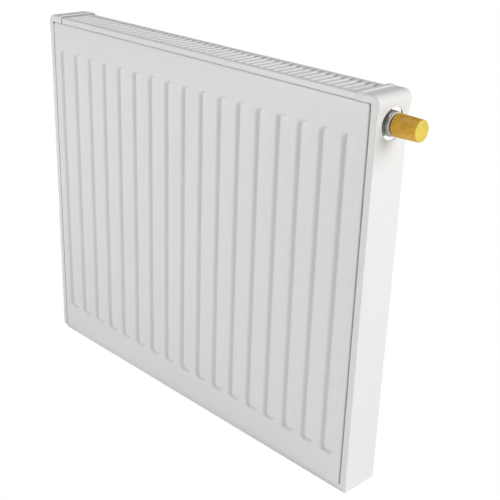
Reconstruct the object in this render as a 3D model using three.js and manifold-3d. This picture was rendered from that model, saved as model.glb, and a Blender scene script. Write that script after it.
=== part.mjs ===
// Single-panel convector radiator with a built-in thermostatic valve.
// Millimetres, +Z up, front towards -Y. The origin is on the wall plane, at the middle of the bottom edge.

import * as THREE from 'three';
import { mergeVertices } from 'three/addons/utils/BufferGeometryUtils.js';
import Module from 'manifold-3d';

const wasm = await Module();
wasm.setup();

// ---------------------------------------------------------------- driving dimensions

const LENGTH = 600;             // over the flat sides of the end covers
const HEIGHT = 500;             // bottom edge to the top of the grille
const DEPTH = 60;               // wall plane to the front of the panel
const COVER_FRONT = DEPTH - 1;  // wall plane to the front flange of the end covers
const COVER_BACK = 3;           // wall plane to the back flange of the end covers

const FLUTE_PITCH = 33.33;
const FLUTE_COUNT = Math.round(LENGTH / FLUTE_PITCH) - 1;
const SHEET = 1.2;              // panel sheet thickness
const FIELD_RELIEF = 4.6;       // how far the water field stands out of the seam
const CLEARANCE = 0.3;          // between pieces that touch on the real object
const FAR = 2 * (LENGTH + HEIGHT);  // reach of a cutting tool past everything

const CONNECTION_INSET = 32;    // top and bottom edges to the connection axes
const VALVE_HEIGHT = HEIGHT - CONNECTION_INSET;
const LOWER_HEIGHT = CONNECTION_INSET;
const CONNECTION_DEPTH = 30.5;  // wall plane to the connection axes

const CAP_STEP = 2;             // how far the top of an end cover stands out past its side
const CAP_WIDTH = 31;           // of the top of an end cover
const VALVE_LIFT = 1.8;         // travel of the valve pin and of the cap screwed down on it

const ROUND = 32;               // facets round a visible turned piece
const ROUND_INSIDE = 20;        // facets round a hidden turned piece

// ---------------------------------------------------------------- materials

function material(name, color, roughness, metalness) {
  const made = new THREE.MeshStandardMaterial({ color, roughness, metalness });
  made.name = name;
  return made;
}

const whiteEnamel = () => material('white_enamel', 0xf4f4f1, 0.35, 0.0);
const primedSteel = () => material('primed_steel', 0xe2e2df, 0.6, 0.1);
const steel = () => material('steel', 0xb4b6b8, 0.35, 0.9);
const springSteel = () => material('spring_steel', 0x8f9296, 0.3, 1.0);
const nickel = () => material('nickel', 0xc2c2bd, 0.3, 0.9);
const brass = () => material('brass', 0xc9a557, 0.35, 0.9);
const rubber = () => material('rubber', 0x1c1c1c, 0.85, 0.0);
const yellowPlastic = () => material('yellow_plastic', 0xd39b1f, 0.45, 0.0);
const whitePlastic = () => material('white_plastic', 0xe6e5e0, 0.5, 0.0);

// ---------------------------------------------------------------- shape helpers

function toSolid(geometry) {
  const bare = geometry.clone();
  bare.deleteAttribute('normal');
  bare.deleteAttribute('uv');
  const merged = mergeVertices(bare, 1e-4);
  const corners = merged.index.array;
  const kept = [];
  for (let i = 0; i < corners.length; i += 3) {
    const [a, b, c] = [corners[i], corners[i + 1], corners[i + 2]];
    if (a !== b && b !== c && c !== a) kept.push(a, b, c);
  }
  const vertProperties = new Float32Array(merged.attributes.position.array);
  const triVerts = new Uint32Array(kept);
  return new wasm.Manifold(new wasm.Mesh({ numProp: 3, vertProperties, triVerts }));
}

function toGeometry(solid) {
  const { vertProperties, triVerts } = solid.getMesh();
  const geometry = new THREE.BufferGeometry();
  geometry.setAttribute('position', new THREE.BufferAttribute(vertProperties, 3));
  geometry.setIndex(new THREE.BufferAttribute(triVerts, 1));
  geometry.computeVertexNormals();
  return geometry;
}

const joined = (solids) => solids.reduce((whole, solid) => whole.add(solid));

// A box between two corners, in any order along each axis.
function box([x0, x1], [y0, y1], [z0, z1]) {
  const geometry = new THREE.BoxGeometry(Math.abs(x1 - x0), Math.abs(y1 - y0), Math.abs(z1 - z0));
  geometry.translate((x0 + x1) / 2, (y0 + y1) / 2, (z0 + z1) / 2);
  return toSolid(geometry);
}

// A rectangle with its own radius at each corner: low-low, high-low, high-high, low-high.
function roundedRectangle([u0, u1], [v0, v1], radii) {
  const [a, b, c, d] = radii;
  const shape = new THREE.Shape();
  shape.moveTo(u0 + a, v0);
  shape.lineTo(u1 - b, v0);
  if (b > 0) shape.absarc(u1 - b, v0 + b, b, -Math.PI / 2, 0);
  shape.lineTo(u1, v1 - c);
  if (c > 0) shape.absarc(u1 - c, v1 - c, c, 0, Math.PI / 2);
  shape.lineTo(u0 + d, v1);
  if (d > 0) shape.absarc(u0 + d, v1 - d, d, Math.PI / 2, Math.PI);
  shape.lineTo(u0, v0 + a);
  if (a > 0) shape.absarc(u0 + a, v0 + a, a, Math.PI, 1.5 * Math.PI);
  return shape;
}

// A plan outline (x, y) drawn upwards.
function drawnUp(shape, [z0, z1], curveSegments = 4) {
  const geometry = new THREE.ExtrudeGeometry(shape, { depth: z1 - z0, bevelEnabled: false, curveSegments });
  geometry.translate(0, 0, z0);
  return toSolid(geometry);
}

// A front-view outline (x, z) drawn along the depth, from y0 at the front back to y1.
function drawnBack(shape, [y0, y1], curveSegments = 4, edge = {}) {
  const options = { depth: y1 - y0, bevelEnabled: false, curveSegments, ...edge };
  const geometry = new THREE.ExtrudeGeometry(shape, options);
  geometry.rotateX(Math.PI / 2);
  geometry.translate(0, y1, 0);
  return toSolid(geometry);
}

// A side-view outline (y, z) drawn along the length.
function drawnAcross(shape, [x0, x1], curveSegments = 4) {
  const geometry = new THREE.ExtrudeGeometry(shape, { depth: x1 - x0, bevelEnabled: false, curveSegments });
  const axes = new THREE.Matrix4().makeBasis(
    new THREE.Vector3(0, 1, 0),
    new THREE.Vector3(0, 0, 1),
    new THREE.Vector3(1, 0, 0),
  );
  geometry.applyMatrix4(axes);
  geometry.translate(x0, 0, 0);
  return toSolid(geometry);
}

// A turned piece from [radius, distance along the axis] points, listed anticlockwise.
function turned(profile, facets = ROUND_INSIDE) {
  const points = profile.map(([radius, along]) => new THREE.Vector2(radius, along));
  return new THREE.LatheGeometry(points, facets);
}

// Turned about a line along the length; distances grow outwards, to the left or to the right.
function turnedAcross(profile, side, height, facets) {
  const geometry = turned(profile, facets);
  geometry.rotateZ(-side * Math.PI / 2);
  geometry.translate(0, -CONNECTION_DEPTH, height);
  return toSolid(geometry);
}

// Turned about an upright line on the connection plane.
function turnedUpright(profile, x, facets) {
  const geometry = turned(profile, facets);
  geometry.rotateX(Math.PI / 2);
  geometry.translate(x, -CONNECTION_DEPTH, 0);
  return toSolid(geometry);
}

// Turned about a line along the depth; distances grow towards the wall.
function turnedBack(profile, x, z, facets) {
  const geometry = turned(profile, facets);
  geometry.translate(x, 0, z);
  return toSolid(geometry);
}

// A tube wall, from one distance to the other along its axis.
const ring = (inner, outer, [from, to]) => [
  [inner, from], [outer, from], [outer, to], [inner, to], [inner, from],
];
const rod = (radius, [from, to]) => [[0, from], [radius, from], [radius, to], [0, to]];

// A round seal: a small circle turned about the axis.
function sealProfile(radius, thickness, along) {
  const points = [];
  const facets = 6;
  for (let i = 0; i <= facets; i += 1) {
    const angle = (i % facets) * 2 * Math.PI / facets;
    points.push([radius + thickness / 2 * Math.cos(angle), along + thickness / 2 * Math.sin(angle)]);
  }
  return points;
}

// A hexagon bar along the length, by its width across flats.
function hexAcross(flats, side, [from, to], height) {
  const corner = flats / Math.sqrt(3);
  const geometry = new THREE.CylinderGeometry(corner, corner, to - from, 6);
  geometry.rotateZ(Math.PI / 2);
  geometry.translate(side * (from + to) / 2, -CONNECTION_DEPTH, height);
  return toSolid(geometry);
}

const radiator = new THREE.Group();

function add(name, solid, surface) {
  const mesh = new THREE.Mesh(toGeometry(solid), surface);
  mesh.name = name;
  radiator.add(mesh);
}

// ---------------------------------------------------------------- water panel

const FIELD_HALF = LENGTH / 2 - 10;       // the raised field stops short of the cover flanges
const FIELD_MARGIN = 9;                   // seam showing under and over the field
const SEAM_HALF = LENGTH / 2 - 3;
const SEAM_TOP = HEIGHT - 3;
const FIELD_EDGE = 3.2;                   // rounding round the front of the field
const FIELD_CORNER = 6;
const HEADER = 37;                        // flat band above and below the flutes
const FLUTE_MOUTH = 19;                   // width at the face
const FLUTE_FLOOR = 15;                   // width at the bottom of the flute
const WATER_HOLE = 5;                     // radius, from the panel to each connection

const seamFace = -DEPTH + FIELD_RELIEF;
const weldPlane = seamFace + SHEET;
const backWeldPlane = weldPlane + CLEARANCE;
const backCrest = backWeldPlane + SHEET + FIELD_RELIEF;
const fluteSpan = [FIELD_MARGIN + HEADER, HEIGHT - FIELD_MARGIN - HEADER];

function fieldBlock(shrink, [y0, y1]) {
  const radius = FIELD_CORNER - shrink;
  const edge = FIELD_EDGE - shrink / 2;
  const inset = shrink + edge;
  const outline = roundedRectangle(
    [-FIELD_HALF + inset, FIELD_HALF - inset],
    [FIELD_MARGIN + inset, HEIGHT - FIELD_MARGIN - inset],
    [radius, radius, radius, radius],
  );
  const bevel = { bevelEnabled: true, bevelThickness: edge, bevelSize: edge, bevelSegments: 2 };
  return drawnBack(outline, [y0 + edge, y1 - edge], 2, bevel);
}

// The tool that sinks a flute: straight sloped walls down to a narrower floor.
function fluteTool(x, grow, floorY) {
  const floorHalf = FLUTE_FLOOR / 2 + grow;
  const slope = (FLUTE_MOUTH - FLUTE_FLOOR) / 2;
  const [low, high] = [fluteSpan[0] - grow + slope, fluteSpan[1] + grow - slope];
  const outline = new THREE.Shape();
  outline.absarc(x, low + floorHalf, floorHalf, Math.PI, 2 * Math.PI);
  outline.absarc(x, high - floorHalf, floorHalf, 0, Math.PI);
  const bevel = { bevelEnabled: true, bevelThickness: FIELD_RELIEF, bevelSize: slope, bevelSegments: 1 };
  return drawnBack(outline, [floorY - 2 * FIELD_RELIEF, floorY - FIELD_RELIEF], 3, bevel);
}

function fluteCentres() {
  const middle = (FLUTE_COUNT - 1) / 2;
  return Array.from({ length: FLUTE_COUNT }, (_, i) => (i - middle) * FLUTE_PITCH);
}

// One pressed half of the panel, face to the front, with its weld plane at weldPlane.
function pressedSheet() {
  const seam = box([-SEAM_HALF, SEAM_HALF], [seamFace, weldPlane], [0, SEAM_TOP]);
  const flutes = joined(fluteCentres().map((x) => fluteTool(x, 0, seamFace)));
  const fluteBacks = joined(fluteCentres().map((x) => fluteTool(x, SHEET, weldPlane)));
  const behind = box([-FAR, FAR], [weldPlane, FAR], [-FAR, FAR]);
  const skin = seam.add(fieldBlock(0, [-DEPTH, weldPlane + DEPTH])).subtract(flutes);
  const hollow = fieldBlock(SHEET, [-DEPTH + SHEET, weldPlane + DEPTH]).subtract(fluteBacks);
  return skin.subtract(hollow).subtract(behind);
}

const connectionX = { boss: LENGTH / 2 - 30, valve: LENGTH / 2 - 29 };

function waterHoles() {
  const places = [
    [-connectionX.boss, VALVE_HEIGHT],
    [-connectionX.boss, LOWER_HEIGHT],
    [connectionX.boss, LOWER_HEIGHT],
    [connectionX.valve, VALVE_HEIGHT],
  ];
  const reach = [backWeldPlane, backCrest + SHEET];
  return joined(places.map(([x, z]) => turnedBack(rod(WATER_HOLE, reach), x, z, 16)));
}

function buildPanel() {
  const front = pressedSheet();
  const back = front.rotate([0, 0, 180]).translate([0, weldPlane + backWeldPlane, 0]);
  add('front_panel_sheet', front, whiteEnamel());
  add('rear_panel_sheet', back.subtract(waterHoles()), whiteEnamel());
}

// ---------------------------------------------------------------- convector fins

const FIN_SHEET = 0.6;
const FIN_DEPTH = 32;
const FIN_FOOT = 10;                      // width of each foot welded on a water channel
const FIN_CROWN = 12;                     // width of each fold nearest the wall
const FIN_INSET = 50;                     // top and bottom edges to the ends of the fins
const FIN_COUNT = FLUTE_COUNT - 2;        // the channels behind the valve pipe carry none

// Both faces of a folded sheet, from its middle line.
function foldedOutline(points, thickness) {
  const offset = (sign) => points.map((point, i) => {
    const before = points[Math.max(i - 1, 0)];
    const after = points[Math.min(i + 1, points.length - 1)];
    const entering = new THREE.Vector2().subVectors(point, before).normalize();
    const leaving = new THREE.Vector2().subVectors(after, point).normalize();
    if (i === 0) entering.copy(leaving);
    if (i === points.length - 1) leaving.copy(entering);
    const along = new THREE.Vector2().addVectors(entering, leaving).normalize();
    const reach = sign * thickness / 2 / along.dot(leaving);
    return new THREE.Vector2(point.x - along.y * reach, point.y + along.x * reach);
  });
  return new THREE.Shape([...offset(1), ...offset(-1).reverse()]);
}

function buildFins() {
  const foot = backCrest + CLEARANCE + FIN_SHEET / 2;
  const crown = foot + FIN_DEPTH;
  const points = [];
  for (let i = 0; i < FIN_COUNT; i += 1) {
    const channel = (i - FLUTE_COUNT / 2) * FLUTE_PITCH;
    const fold = channel + FLUTE_PITCH / 2;
    points.push(new THREE.Vector2(channel - FIN_FOOT / 2, foot));
    points.push(new THREE.Vector2(channel + FIN_FOOT / 2, foot));
    if (i === FIN_COUNT - 1) break;
    points.push(new THREE.Vector2(fold - FIN_CROWN / 2, crown));
    points.push(new THREE.Vector2(fold + FIN_CROWN / 2, crown));
  }
  add('convector_fins', drawnUp(foldedOutline(points, FIN_SHEET), [FIN_INSET, HEIGHT - FIN_INSET]), primedSteel());
}

// ---------------------------------------------------------------- top grille

const GRILLE_SHEET = 1;
const GRILLE_BACK = 3.5;                  // wall plane to the back of the grille
const GRILLE_SKIRT = 7.7;                 // height of the front and back edges
const SLOT_PITCH = 11.6;
const SLOT_WIDTH = 6.8;
const SLOT_FRONT = COVER_FRONT - 4.5;     // wall plane to the front end of the slots
const SLOT_REAR = 9.5;
const LOUVRE_DROP = 6;                    // the edge turned down beside each slot
const LOUVRE_SPAN = [COVER_FRONT - 8, SLOT_REAR + 5];  // wall plane to the ends of the turned edge

const grilleHalf = LENGTH / 2 + CAP_STEP - CAP_WIDTH - 0.4;
const slotCount = 2 * Math.floor((grilleHalf - SLOT_WIDTH / 2) / SLOT_PITCH);

function buildGrille() {
  const top = HEIGHT - GRILLE_SHEET;
  const skirt = [HEIGHT - GRILLE_SKIRT, HEIGHT];
  const wide = [-grilleHalf, grilleHalf];
  const plate = box(wide, [-COVER_FRONT, -GRILLE_BACK], [top, HEIGHT]);
  const front = box(wide, [-COVER_FRONT, -COVER_FRONT + GRILLE_SHEET], skirt);
  const back = box(wide, [-GRILLE_BACK - GRILLE_SHEET, -GRILLE_BACK], skirt);
  const slots = [];
  const louvres = [];
  for (let i = 0; i < slotCount; i += 1) {
    const left = (i - (slotCount - 1) / 2) * SLOT_PITCH - SLOT_WIDTH / 2;
    slots.push(box([left, left + SLOT_WIDTH], [-SLOT_FRONT, -SLOT_REAR], [top - 1, HEIGHT + 1]));
    louvres.push(box(
      [left - GRILLE_SHEET, left],
      LOUVRE_SPAN.map((distance) => -distance),
      [HEIGHT - LOUVRE_DROP, HEIGHT],
    ));
  }
  const grille = joined([plate, front, back]).subtract(joined(slots)).add(joined(louvres));
  add('top_grille', grille, whiteEnamel());
}

// ---------------------------------------------------------------- end covers

const COVER_SHEET = 1;
const COVER_BOTTOM = 1.5;
const COVER_FOLD = 2.5;                   // outer radius of the upright folds
const COVER_TOE = 7;                      // rounding of the lower corners
const FRONT_FLANGE = 7;
const BACK_FLANGE = 10;
const CAP_LOWER = HEIGHT - 12;            // the top of the cover is stepped out from here up
const CAP_TOP = HEIGHT + 1.5;
const CAP_SHOULDER = 10;                  // rounding over the outer top edge
const CAP_NOSE = 6;
const HEM_WIDTH = 7.5;                    // raised strip along the inner edge
const HEM_RISE = 1.5;
const VALVE_HOLE = 18.5;                  // radius
const KEY_HOLE = 11;                      // radius

const ordered = (side, near, far) => (side > 0 ? [near, far] : [-far, -near]);

// Radii for an outline whose outer edge is on the right or on the left.
const outerRadii = (side, lower, upper) => (side > 0 ? [0, lower, upper, 0] : [lower, 0, 0, upper]);

function coverBody(side) {
  const outer = LENGTH / 2;
  const depth = [-COVER_FRONT, -COVER_BACK];
  const radii = outerRadii(side, COVER_FOLD, COVER_FOLD);
  const plan = roundedRectangle(ordered(side, outer - 20, outer), depth, radii);
  const front = roundedRectangle(
    ordered(side, outer - 20, outer),
    [COVER_BOTTOM, HEIGHT],
    outerRadii(side, COVER_TOE, 0),
  );
  const profile = roundedRectangle(depth, [COVER_BOTTOM, HEIGHT], [COVER_TOE, 2, 0, 0]);
  const across = ordered(side, outer - 20, outer);
  return drawnUp(plan, [COVER_BOTTOM, CAP_LOWER + 2 * COVER_SHEET], 3)
    .intersect(drawnBack(front, depth))
    .intersect(drawnAcross(profile, across));
}

function coverHollow(side) {
  const radius = COVER_FOLD - COVER_SHEET;
  const depth = [-COVER_FRONT + COVER_SHEET, -COVER_BACK - COVER_SHEET];
  const across = ordered(side, LENGTH / 2 - 40, LENGTH / 2 - COVER_SHEET);
  const plan = roundedRectangle(across, depth, outerRadii(side, radius, radius));
  return drawnUp(plan, [-FAR, CAP_LOWER + 2 * COVER_SHEET], 3);
}

function capBlock(side, shrink) {
  const outer = LENGTH / 2 + CAP_STEP - shrink;
  const inner = LENGTH / 2 + CAP_STEP - CAP_WIDTH - 20 * shrink;
  const depth = [-COVER_FRONT - 0.5 + shrink, -0.5 - shrink];
  const rise = [CAP_LOWER + shrink, CAP_TOP - shrink];
  const shoulder = CAP_SHOULDER - shrink;
  const nose = CAP_NOSE - shrink;
  const across = ordered(side, inner, outer);
  const plan = roundedRectangle(across, depth, outerRadii(side, nose, nose));
  const front = roundedRectangle(across, rise, outerRadii(side, 0, shoulder));
  const profile = roundedRectangle(depth, rise, [0, 0, nose / 2, nose / 2]);
  return drawnUp(plan, rise, 4)
    .intersect(drawnBack(front, depth, 6))
    .intersect(drawnAcross(profile, across));
}

function capHem(side) {
  const inner = LENGTH / 2 + CAP_STEP - CAP_WIDTH;
  const across = ordered(side, inner, inner + HEM_WIDTH);
  const profile = roundedRectangle(
    [-COVER_FRONT + 1, -1],
    [CAP_TOP - COVER_SHEET, CAP_TOP + HEM_RISE],
    [0, 0, HEM_RISE, HEM_RISE],
  );
  return drawnAcross(profile, across, 3);
}

function buildCover(side, name, holeRadius) {
  const outer = LENGTH / 2;
  const trimTop = HEIGHT - GRILLE_SKIRT;
  const frontTrim = box(ordered(side, 0, outer - FRONT_FLANGE), [-FAR, -DEPTH / 2], [-FAR, trimTop]);
  const backTrim = box(ordered(side, 0, outer - BACK_FLANGE), [-DEPTH / 2, FAR], [-FAR, trimTop]);
  const reach = rod(holeRadius, [outer - 10, outer + 10]);
  const hole = turnedAcross(reach, side, VALVE_HEIGHT, 40);
  const body = coverBody(side).add(capBlock(side, 0)).subtract(coverHollow(side));
  const hollowCap = capBlock(side, COVER_SHEET);
  const cover = body.subtract(hollowCap).add(capHem(side)).subtract(frontTrim).subtract(backTrim);
  add(name, cover.subtract(hole), whiteEnamel());
}

// ---------------------------------------------------------------- spring clips on the seam

const CLIP_SHEET = 0.8;
const CLIP_LENGTH = 20;
const CLIP_GRIP = 6;                      // how far the legs reach over the seam

// The clip's section across the seam: a channel that opens towards the panel.
function clipSection(edge, outward) {
  const [front, back] = [seamFace - 0.4, weldPlane + CLEARANCE + SHEET + 0.4];
  const web = [edge + outward * 0.4, edge + outward * (0.4 + CLIP_SHEET)];
  const tip = edge - outward * CLIP_GRIP;
  return { outside: [front - CLIP_SHEET, back + CLIP_SHEET], inside: [front, back], web, tip };
}

function buildCoverClip(side, name, z) {
  const { outside, inside, web, tip } = clipSection(SEAM_HALF, 1);
  const span = [z - CLIP_LENGTH / 2, z + CLIP_LENGTH / 2];
  const block = box([side * tip, side * web[1]], outside, span);
  const gap = box([side * (tip - 1), side * web[0]], inside, [-FAR, FAR]);
  add(name, block.subtract(gap), springSteel());
}

function buildGrilleClip(name, x) {
  const { outside, inside, web, tip } = clipSection(SEAM_TOP, 1);
  const span = [x - CLIP_LENGTH / 2, x + CLIP_LENGTH / 2];
  const legs = Math.max(tip, HEIGHT - FIELD_MARGIN + CLEARANCE);
  const block = box(span, outside, [legs, web[1]]);
  const gap = box([-FAR, FAR], inside, [legs - 1, web[0]]);
  add(name, block.subtract(gap), springSteel());
}

// ---------------------------------------------------------------- wall lugs

const LUG_INSET_X = 120;                  // side of the cover to the middle of the lug
const LUG_X = LENGTH / 2 - LUG_INSET_X;
const LUG_SHEET = 2;
const LUG_WIDTH = 26;
const LUG_HEIGHT = 30;
const LUG_LIP = 26;
const LUG_INSET = 12;                     // from the panel's edge to the lug's shelf

function buildLug(name, x, upper) {
  const root = backCrest + CLEARANCE;
  const shelf = upper ? HEIGHT - LUG_INSET : LUG_INSET;
  const down = upper ? -1 : 1;
  const across = [x - LUG_WIDTH / 2, x + LUG_WIDTH / 2];
  const foot = box(across, [root, root + LUG_SHEET], [shelf, shelf + down * LUG_HEIGHT]);
  const web = box(across, [root, 0], [shelf, shelf + down * LUG_SHEET]);
  const lip = box(across, [-LUG_SHEET, 0], [shelf, shelf + down * LUG_LIP]);
  add(name, joined([foot, web, lip]), whiteEnamel());
}

// ---------------------------------------------------------------- threaded connections

const BOSS_RADIUS = 15;
const BOSS_BORE = 10.5;
const BOSS_SPAN = [LENGTH / 2 - 46, LENGTH / 2 - 14];
const BOSS_FLOOR = 4;
const NECK_RADIUS = 9;
const PLUG_SHANK = BOSS_BORE - CLEARANCE;
const PLUG_FLATS = 22;
const PLUG_HEAD = 5;
const SEAL = 1.6;                         // thickness of the round seals

// A short tube from the panel into a connection, with its water way.
function neck(x, z) {
  const reach = [backCrest + CLEARANCE, -CONNECTION_DEPTH - BOSS_BORE + 1];
  return {
    wall: turnedBack(rod(NECK_RADIUS, reach), x, z),
    way: turnedBack(rod(WATER_HOLE, [reach[0] - 1, -CONNECTION_DEPTH]), x, z, 16),
  };
}

function buildBoss(name, side, z) {
  const [inner, outer] = BOSS_SPAN;
  const { wall, way } = neck(side * connectionX.boss, z);
  const bore = turnedAcross(rod(BOSS_BORE, [inner + BOSS_FLOOR, outer + 1]), side, z);
  const body = turnedAcross(rod(BOSS_RADIUS, [inner, outer]), side, z);
  add(name, body.add(wall).subtract(bore).subtract(way), whiteEnamel());
}

// A plug's shank with a groove for its seal, and its hexagon head.
function plugBody(side, z, shank) {
  const face = BOSS_SPAN[1] + CLEARANCE;
  const groove = [face - 3.2, face - 0.9];
  const core = [
    [0, face - shank],
    [PLUG_SHANK, face - shank],
    [PLUG_SHANK, groove[0]],
    [PLUG_SHANK - SEAL, groove[0]],
    [PLUG_SHANK - SEAL, groove[1]],
    [PLUG_SHANK, groove[1]],
    [PLUG_SHANK, face],
    [0, face],
  ];
  return turnedAcross(core, side, z).add(hexAcross(PLUG_FLATS, side, [face - 0.1, face + PLUG_HEAD], z));
}

function buildPlugSeal(name, side, z) {
  const along = BOSS_SPAN[1] + CLEARANCE - 2.05;
  add(name, turnedAcross(sealProfile(PLUG_SHANK - 0.65, SEAL - 0.4, along), side, z), rubber());
}

function buildBlindPlug(name, side, z) {
  const face = BOSS_SPAN[1] + CLEARANCE;
  const socket = hexAcross(10, side, [face + 0.5, face + PLUG_HEAD + 1], z);
  add(name, plugBody(side, z, 12).subtract(socket), nickel());
}

// ---------------------------------------------------------------- air vent, upper left

const VENT_SIDE = -1;
const VENT_BORE = 2.6;
const VENT_NOSE = 5.5;
const VENT_END = LENGTH / 2 - 4;
const VENT_SHAFT = 2.2;
const VENT_SQUARE = 5;
const VENT_SEAT = BOSS_SPAN[1] - 9;

function buildVent() {
  const face = BOSS_SPAN[1] + CLEARANCE + PLUG_HEAD;
  const z = VALVE_HEIGHT;
  const nose = turnedAcross(rod(VENT_NOSE, [face - 1, VENT_END]), VENT_SIDE, z);
  const bore = turnedAcross(rod(VENT_BORE, [VENT_SEAT, VENT_END + 1]), VENT_SIDE, z, 16);
  const jet = turnedAcross(rod(1, [0, VENT_SEAT + 1]), VENT_SIDE, z, 12);
  const body = plugBody(VENT_SIDE, z, 12).add(nose).subtract(bore).subtract(jet);
  add('vent_plug', body, nickel());

  const tip = [VENT_SEAT + 0.15, VENT_SEAT + 1.8];
  add('vent_seal', turnedAcross(rod(VENT_SHAFT, tip), VENT_SIDE, z, 16), rubber());

  const shaft = turnedAcross(rod(VENT_SHAFT, [tip[1] + CLEARANCE, VENT_END + 1]), VENT_SIDE, z, 16);
  const half = VENT_SQUARE / 2;
  const head = box(
    [VENT_SIDE * (VENT_END + CLEARANCE), VENT_SIDE * (VENT_END + VENT_SQUARE)],
    [-CONNECTION_DEPTH - half, -CONNECTION_DEPTH + half],
    [z - half, z + half],
  );
  add('vent_screw', shaft.add(head), brass());

  const sleeve = [face + 0.3, VENT_END - 0.5];
  const collar = turnedAcross(ring(VENT_NOSE + CLEARANCE, VENT_NOSE + 2.6, sleeve), VENT_SIDE, z);
  const middle = (sleeve[0] + sleeve[1]) / 2;
  const spout = turnedUpright(rod(1.4, [z - VENT_NOSE - 6, z - VENT_NOSE - 1]), VENT_SIDE * middle, 12);
  add('vent_spout', collar.add(spout), whitePlastic());
}

// ---------------------------------------------------------------- built-in valve, upper right

const VALVE_SIDE = 1;
const HOUSING_RADIUS = 15.5;
const HOUSING_RIM = 17;
const HOUSING_SPAN = [LENGTH / 2 - 66, LENGTH / 2 - 11];
const HOUSING_BORE = 10.8;
const SEAT = LENGTH / 2 - 38;             // the face the valve disc closes on
const SEAT_BORE = 4.5;
const CHAMBER = [LENGTH / 2 - 62, SEAT - 4];
const PIPE_X = LENGTH / 2 - 52;
const PIPE_RADIUS = 7;
const PIPE_WALL = 1.2;
const SOCKET_RADIUS = 9.5;

const INSERT_SHANK = HOUSING_BORE - 0.4;
const INSERT_FLATS = 24.5;
const COLLAR_RADIUS = 14.3;
const NECK_THREAD = 11.2;                 // radius the cap or a thermostatic head goes over
const COLLAR_FACE = LENGTH / 2 + 2.5;
const NECK_END = LENGTH / 2 + 17;
const GLAND_RADIUS = 6.2;

const PIN_RADIUS = 1.6;
const PIN_REACH = 2;                      // of the pin past the end of the neck
const STEM_RADIUS = 2.2;
const STEM_BORE = 2.5;
const DISC_RADIUS = 6;
const DISC_BACK = SEAT + VALVE_LIFT + 2.2;

function buildHousing() {
  const [inner, outer] = HOUSING_SPAN;
  const z = VALVE_HEIGHT;
  const { wall, way } = neck(connectionX.valve, z);
  const body = turnedAcross([
    [0, inner], [HOUSING_RADIUS, inner], [HOUSING_RADIUS, outer - 4], [HOUSING_RIM, outer - 3],
    [HOUSING_RIM, outer], [0, outer],
  ], VALVE_SIDE, z);
  const socket = turnedUpright(rod(SOCKET_RADIUS, [z - HOUSING_RADIUS - 8, z - 5]), PIPE_X);
  const pipeWay = turnedUpright(rod(PIPE_RADIUS + CLEARANCE, [0, z - HOUSING_RADIUS + 1]), PIPE_X);
  const port = turnedUpright(rod(PIPE_RADIUS - PIPE_WALL, [0, z]), PIPE_X);
  const bore = turnedAcross(rod(HOUSING_BORE, [SEAT, outer + 1]), VALVE_SIDE, z);
  const throat = turnedAcross(rod(SEAT_BORE, [CHAMBER[0] + 1, SEAT + 1]), VALVE_SIDE, z, 20);
  const chamber = turnedAcross(rod(HOUSING_BORE - 1, CHAMBER), VALVE_SIDE, z);
  const cuts = joined([pipeWay, port, bore, throat, chamber, way]);
  add('valve_housing', joined([body, wall, socket]).subtract(cuts), steel());
}

function buildInsert() {
  const z = VALVE_HEIGHT;
  const mouth = HOUSING_SPAN[1];
  const groove = [mouth - 4, mouth - 1.7];
  const collarStart = mouth + 8;
  const body = turnedAcross([
    [0, DISC_BACK + 3],
    [INSERT_SHANK, DISC_BACK + 3],
    [INSERT_SHANK, groove[0]],
    [INSERT_SHANK - SEAL, groove[0]],
    [INSERT_SHANK - SEAL, groove[1]],
    [INSERT_SHANK, groove[1]],
    [INSERT_SHANK, collarStart - 1],
    [COLLAR_RADIUS, collarStart],
    [COLLAR_RADIUS, COLLAR_FACE - 0.5],
    [COLLAR_RADIUS - 0.5, COLLAR_FACE],
    [NECK_THREAD, COLLAR_FACE],
    [NECK_THREAD, NECK_END - 0.8],
    [NECK_THREAD - 0.8, NECK_END],
    [0, NECK_END],
  ], VALVE_SIDE, z, ROUND);
  const hexagon = hexAcross(INSERT_FLATS, VALVE_SIDE, [mouth + CLEARANCE, collarStart - 1], z);
  const hollow = turnedAcross(rod(SPRING_ROOM, [DISC_BACK + 2, SPRING_END]), VALVE_SIDE, z);
  const stemWay = turnedAcross(rod(STEM_BORE, [DISC_BACK, NECK_END]), VALVE_SIDE, z, 16);
  const glandWay = turnedAcross(rod(GLAND_RADIUS + CLEARANCE, [NECK_END - 9, NECK_END + 1]), VALVE_SIDE, z);
  const waterWay = turnedBack(rod(4, [-DEPTH, -CONNECTION_DEPTH]), connectionX.valve, z, 16);
  add('valve_insert', joined([body, hexagon]).subtract(joined([hollow, stemWay, glandWay, waterWay])), nickel());

  const seal = sealProfile(INSERT_SHANK - 0.65, SEAL - 0.4, (groove[0] + groove[1]) / 2);
  add('insert_seal', turnedAcross(seal, VALVE_SIDE, z), rubber());
}

const SPRING_ROOM = 7;
const SPRING_RADIUS = 4.6;
const SPRING_WIRE = 0.5;
const SPRING_TURNS = 5;
const SPRING_END = HOUSING_SPAN[1] - 6;

function buildStem() {
  const z = VALVE_HEIGHT;
  const stem = turnedAcross([
    [0, DISC_BACK - 1.2],
    [2, DISC_BACK - 1.2],
    [2, DISC_BACK],
    [DISC_RADIUS, DISC_BACK],
    [DISC_RADIUS, DISC_BACK + 1.4],
    [STEM_RADIUS, DISC_BACK + 1.4],
    [STEM_RADIUS, NECK_END - 10],
    [PIN_RADIUS, NECK_END - 9.4],
    [PIN_RADIUS, NECK_END + PIN_REACH],
    [0, NECK_END + PIN_REACH],
  ], VALVE_SIDE, z, 20);
  add('valve_stem', stem, steel());

  const disc = ring(2 + 0.1, DISC_RADIUS, [SEAT + VALVE_LIFT + 0.1, DISC_BACK - 0.1]);
  add('valve_disc', turnedAcross(disc, VALVE_SIDE, z), rubber());
}

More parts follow.
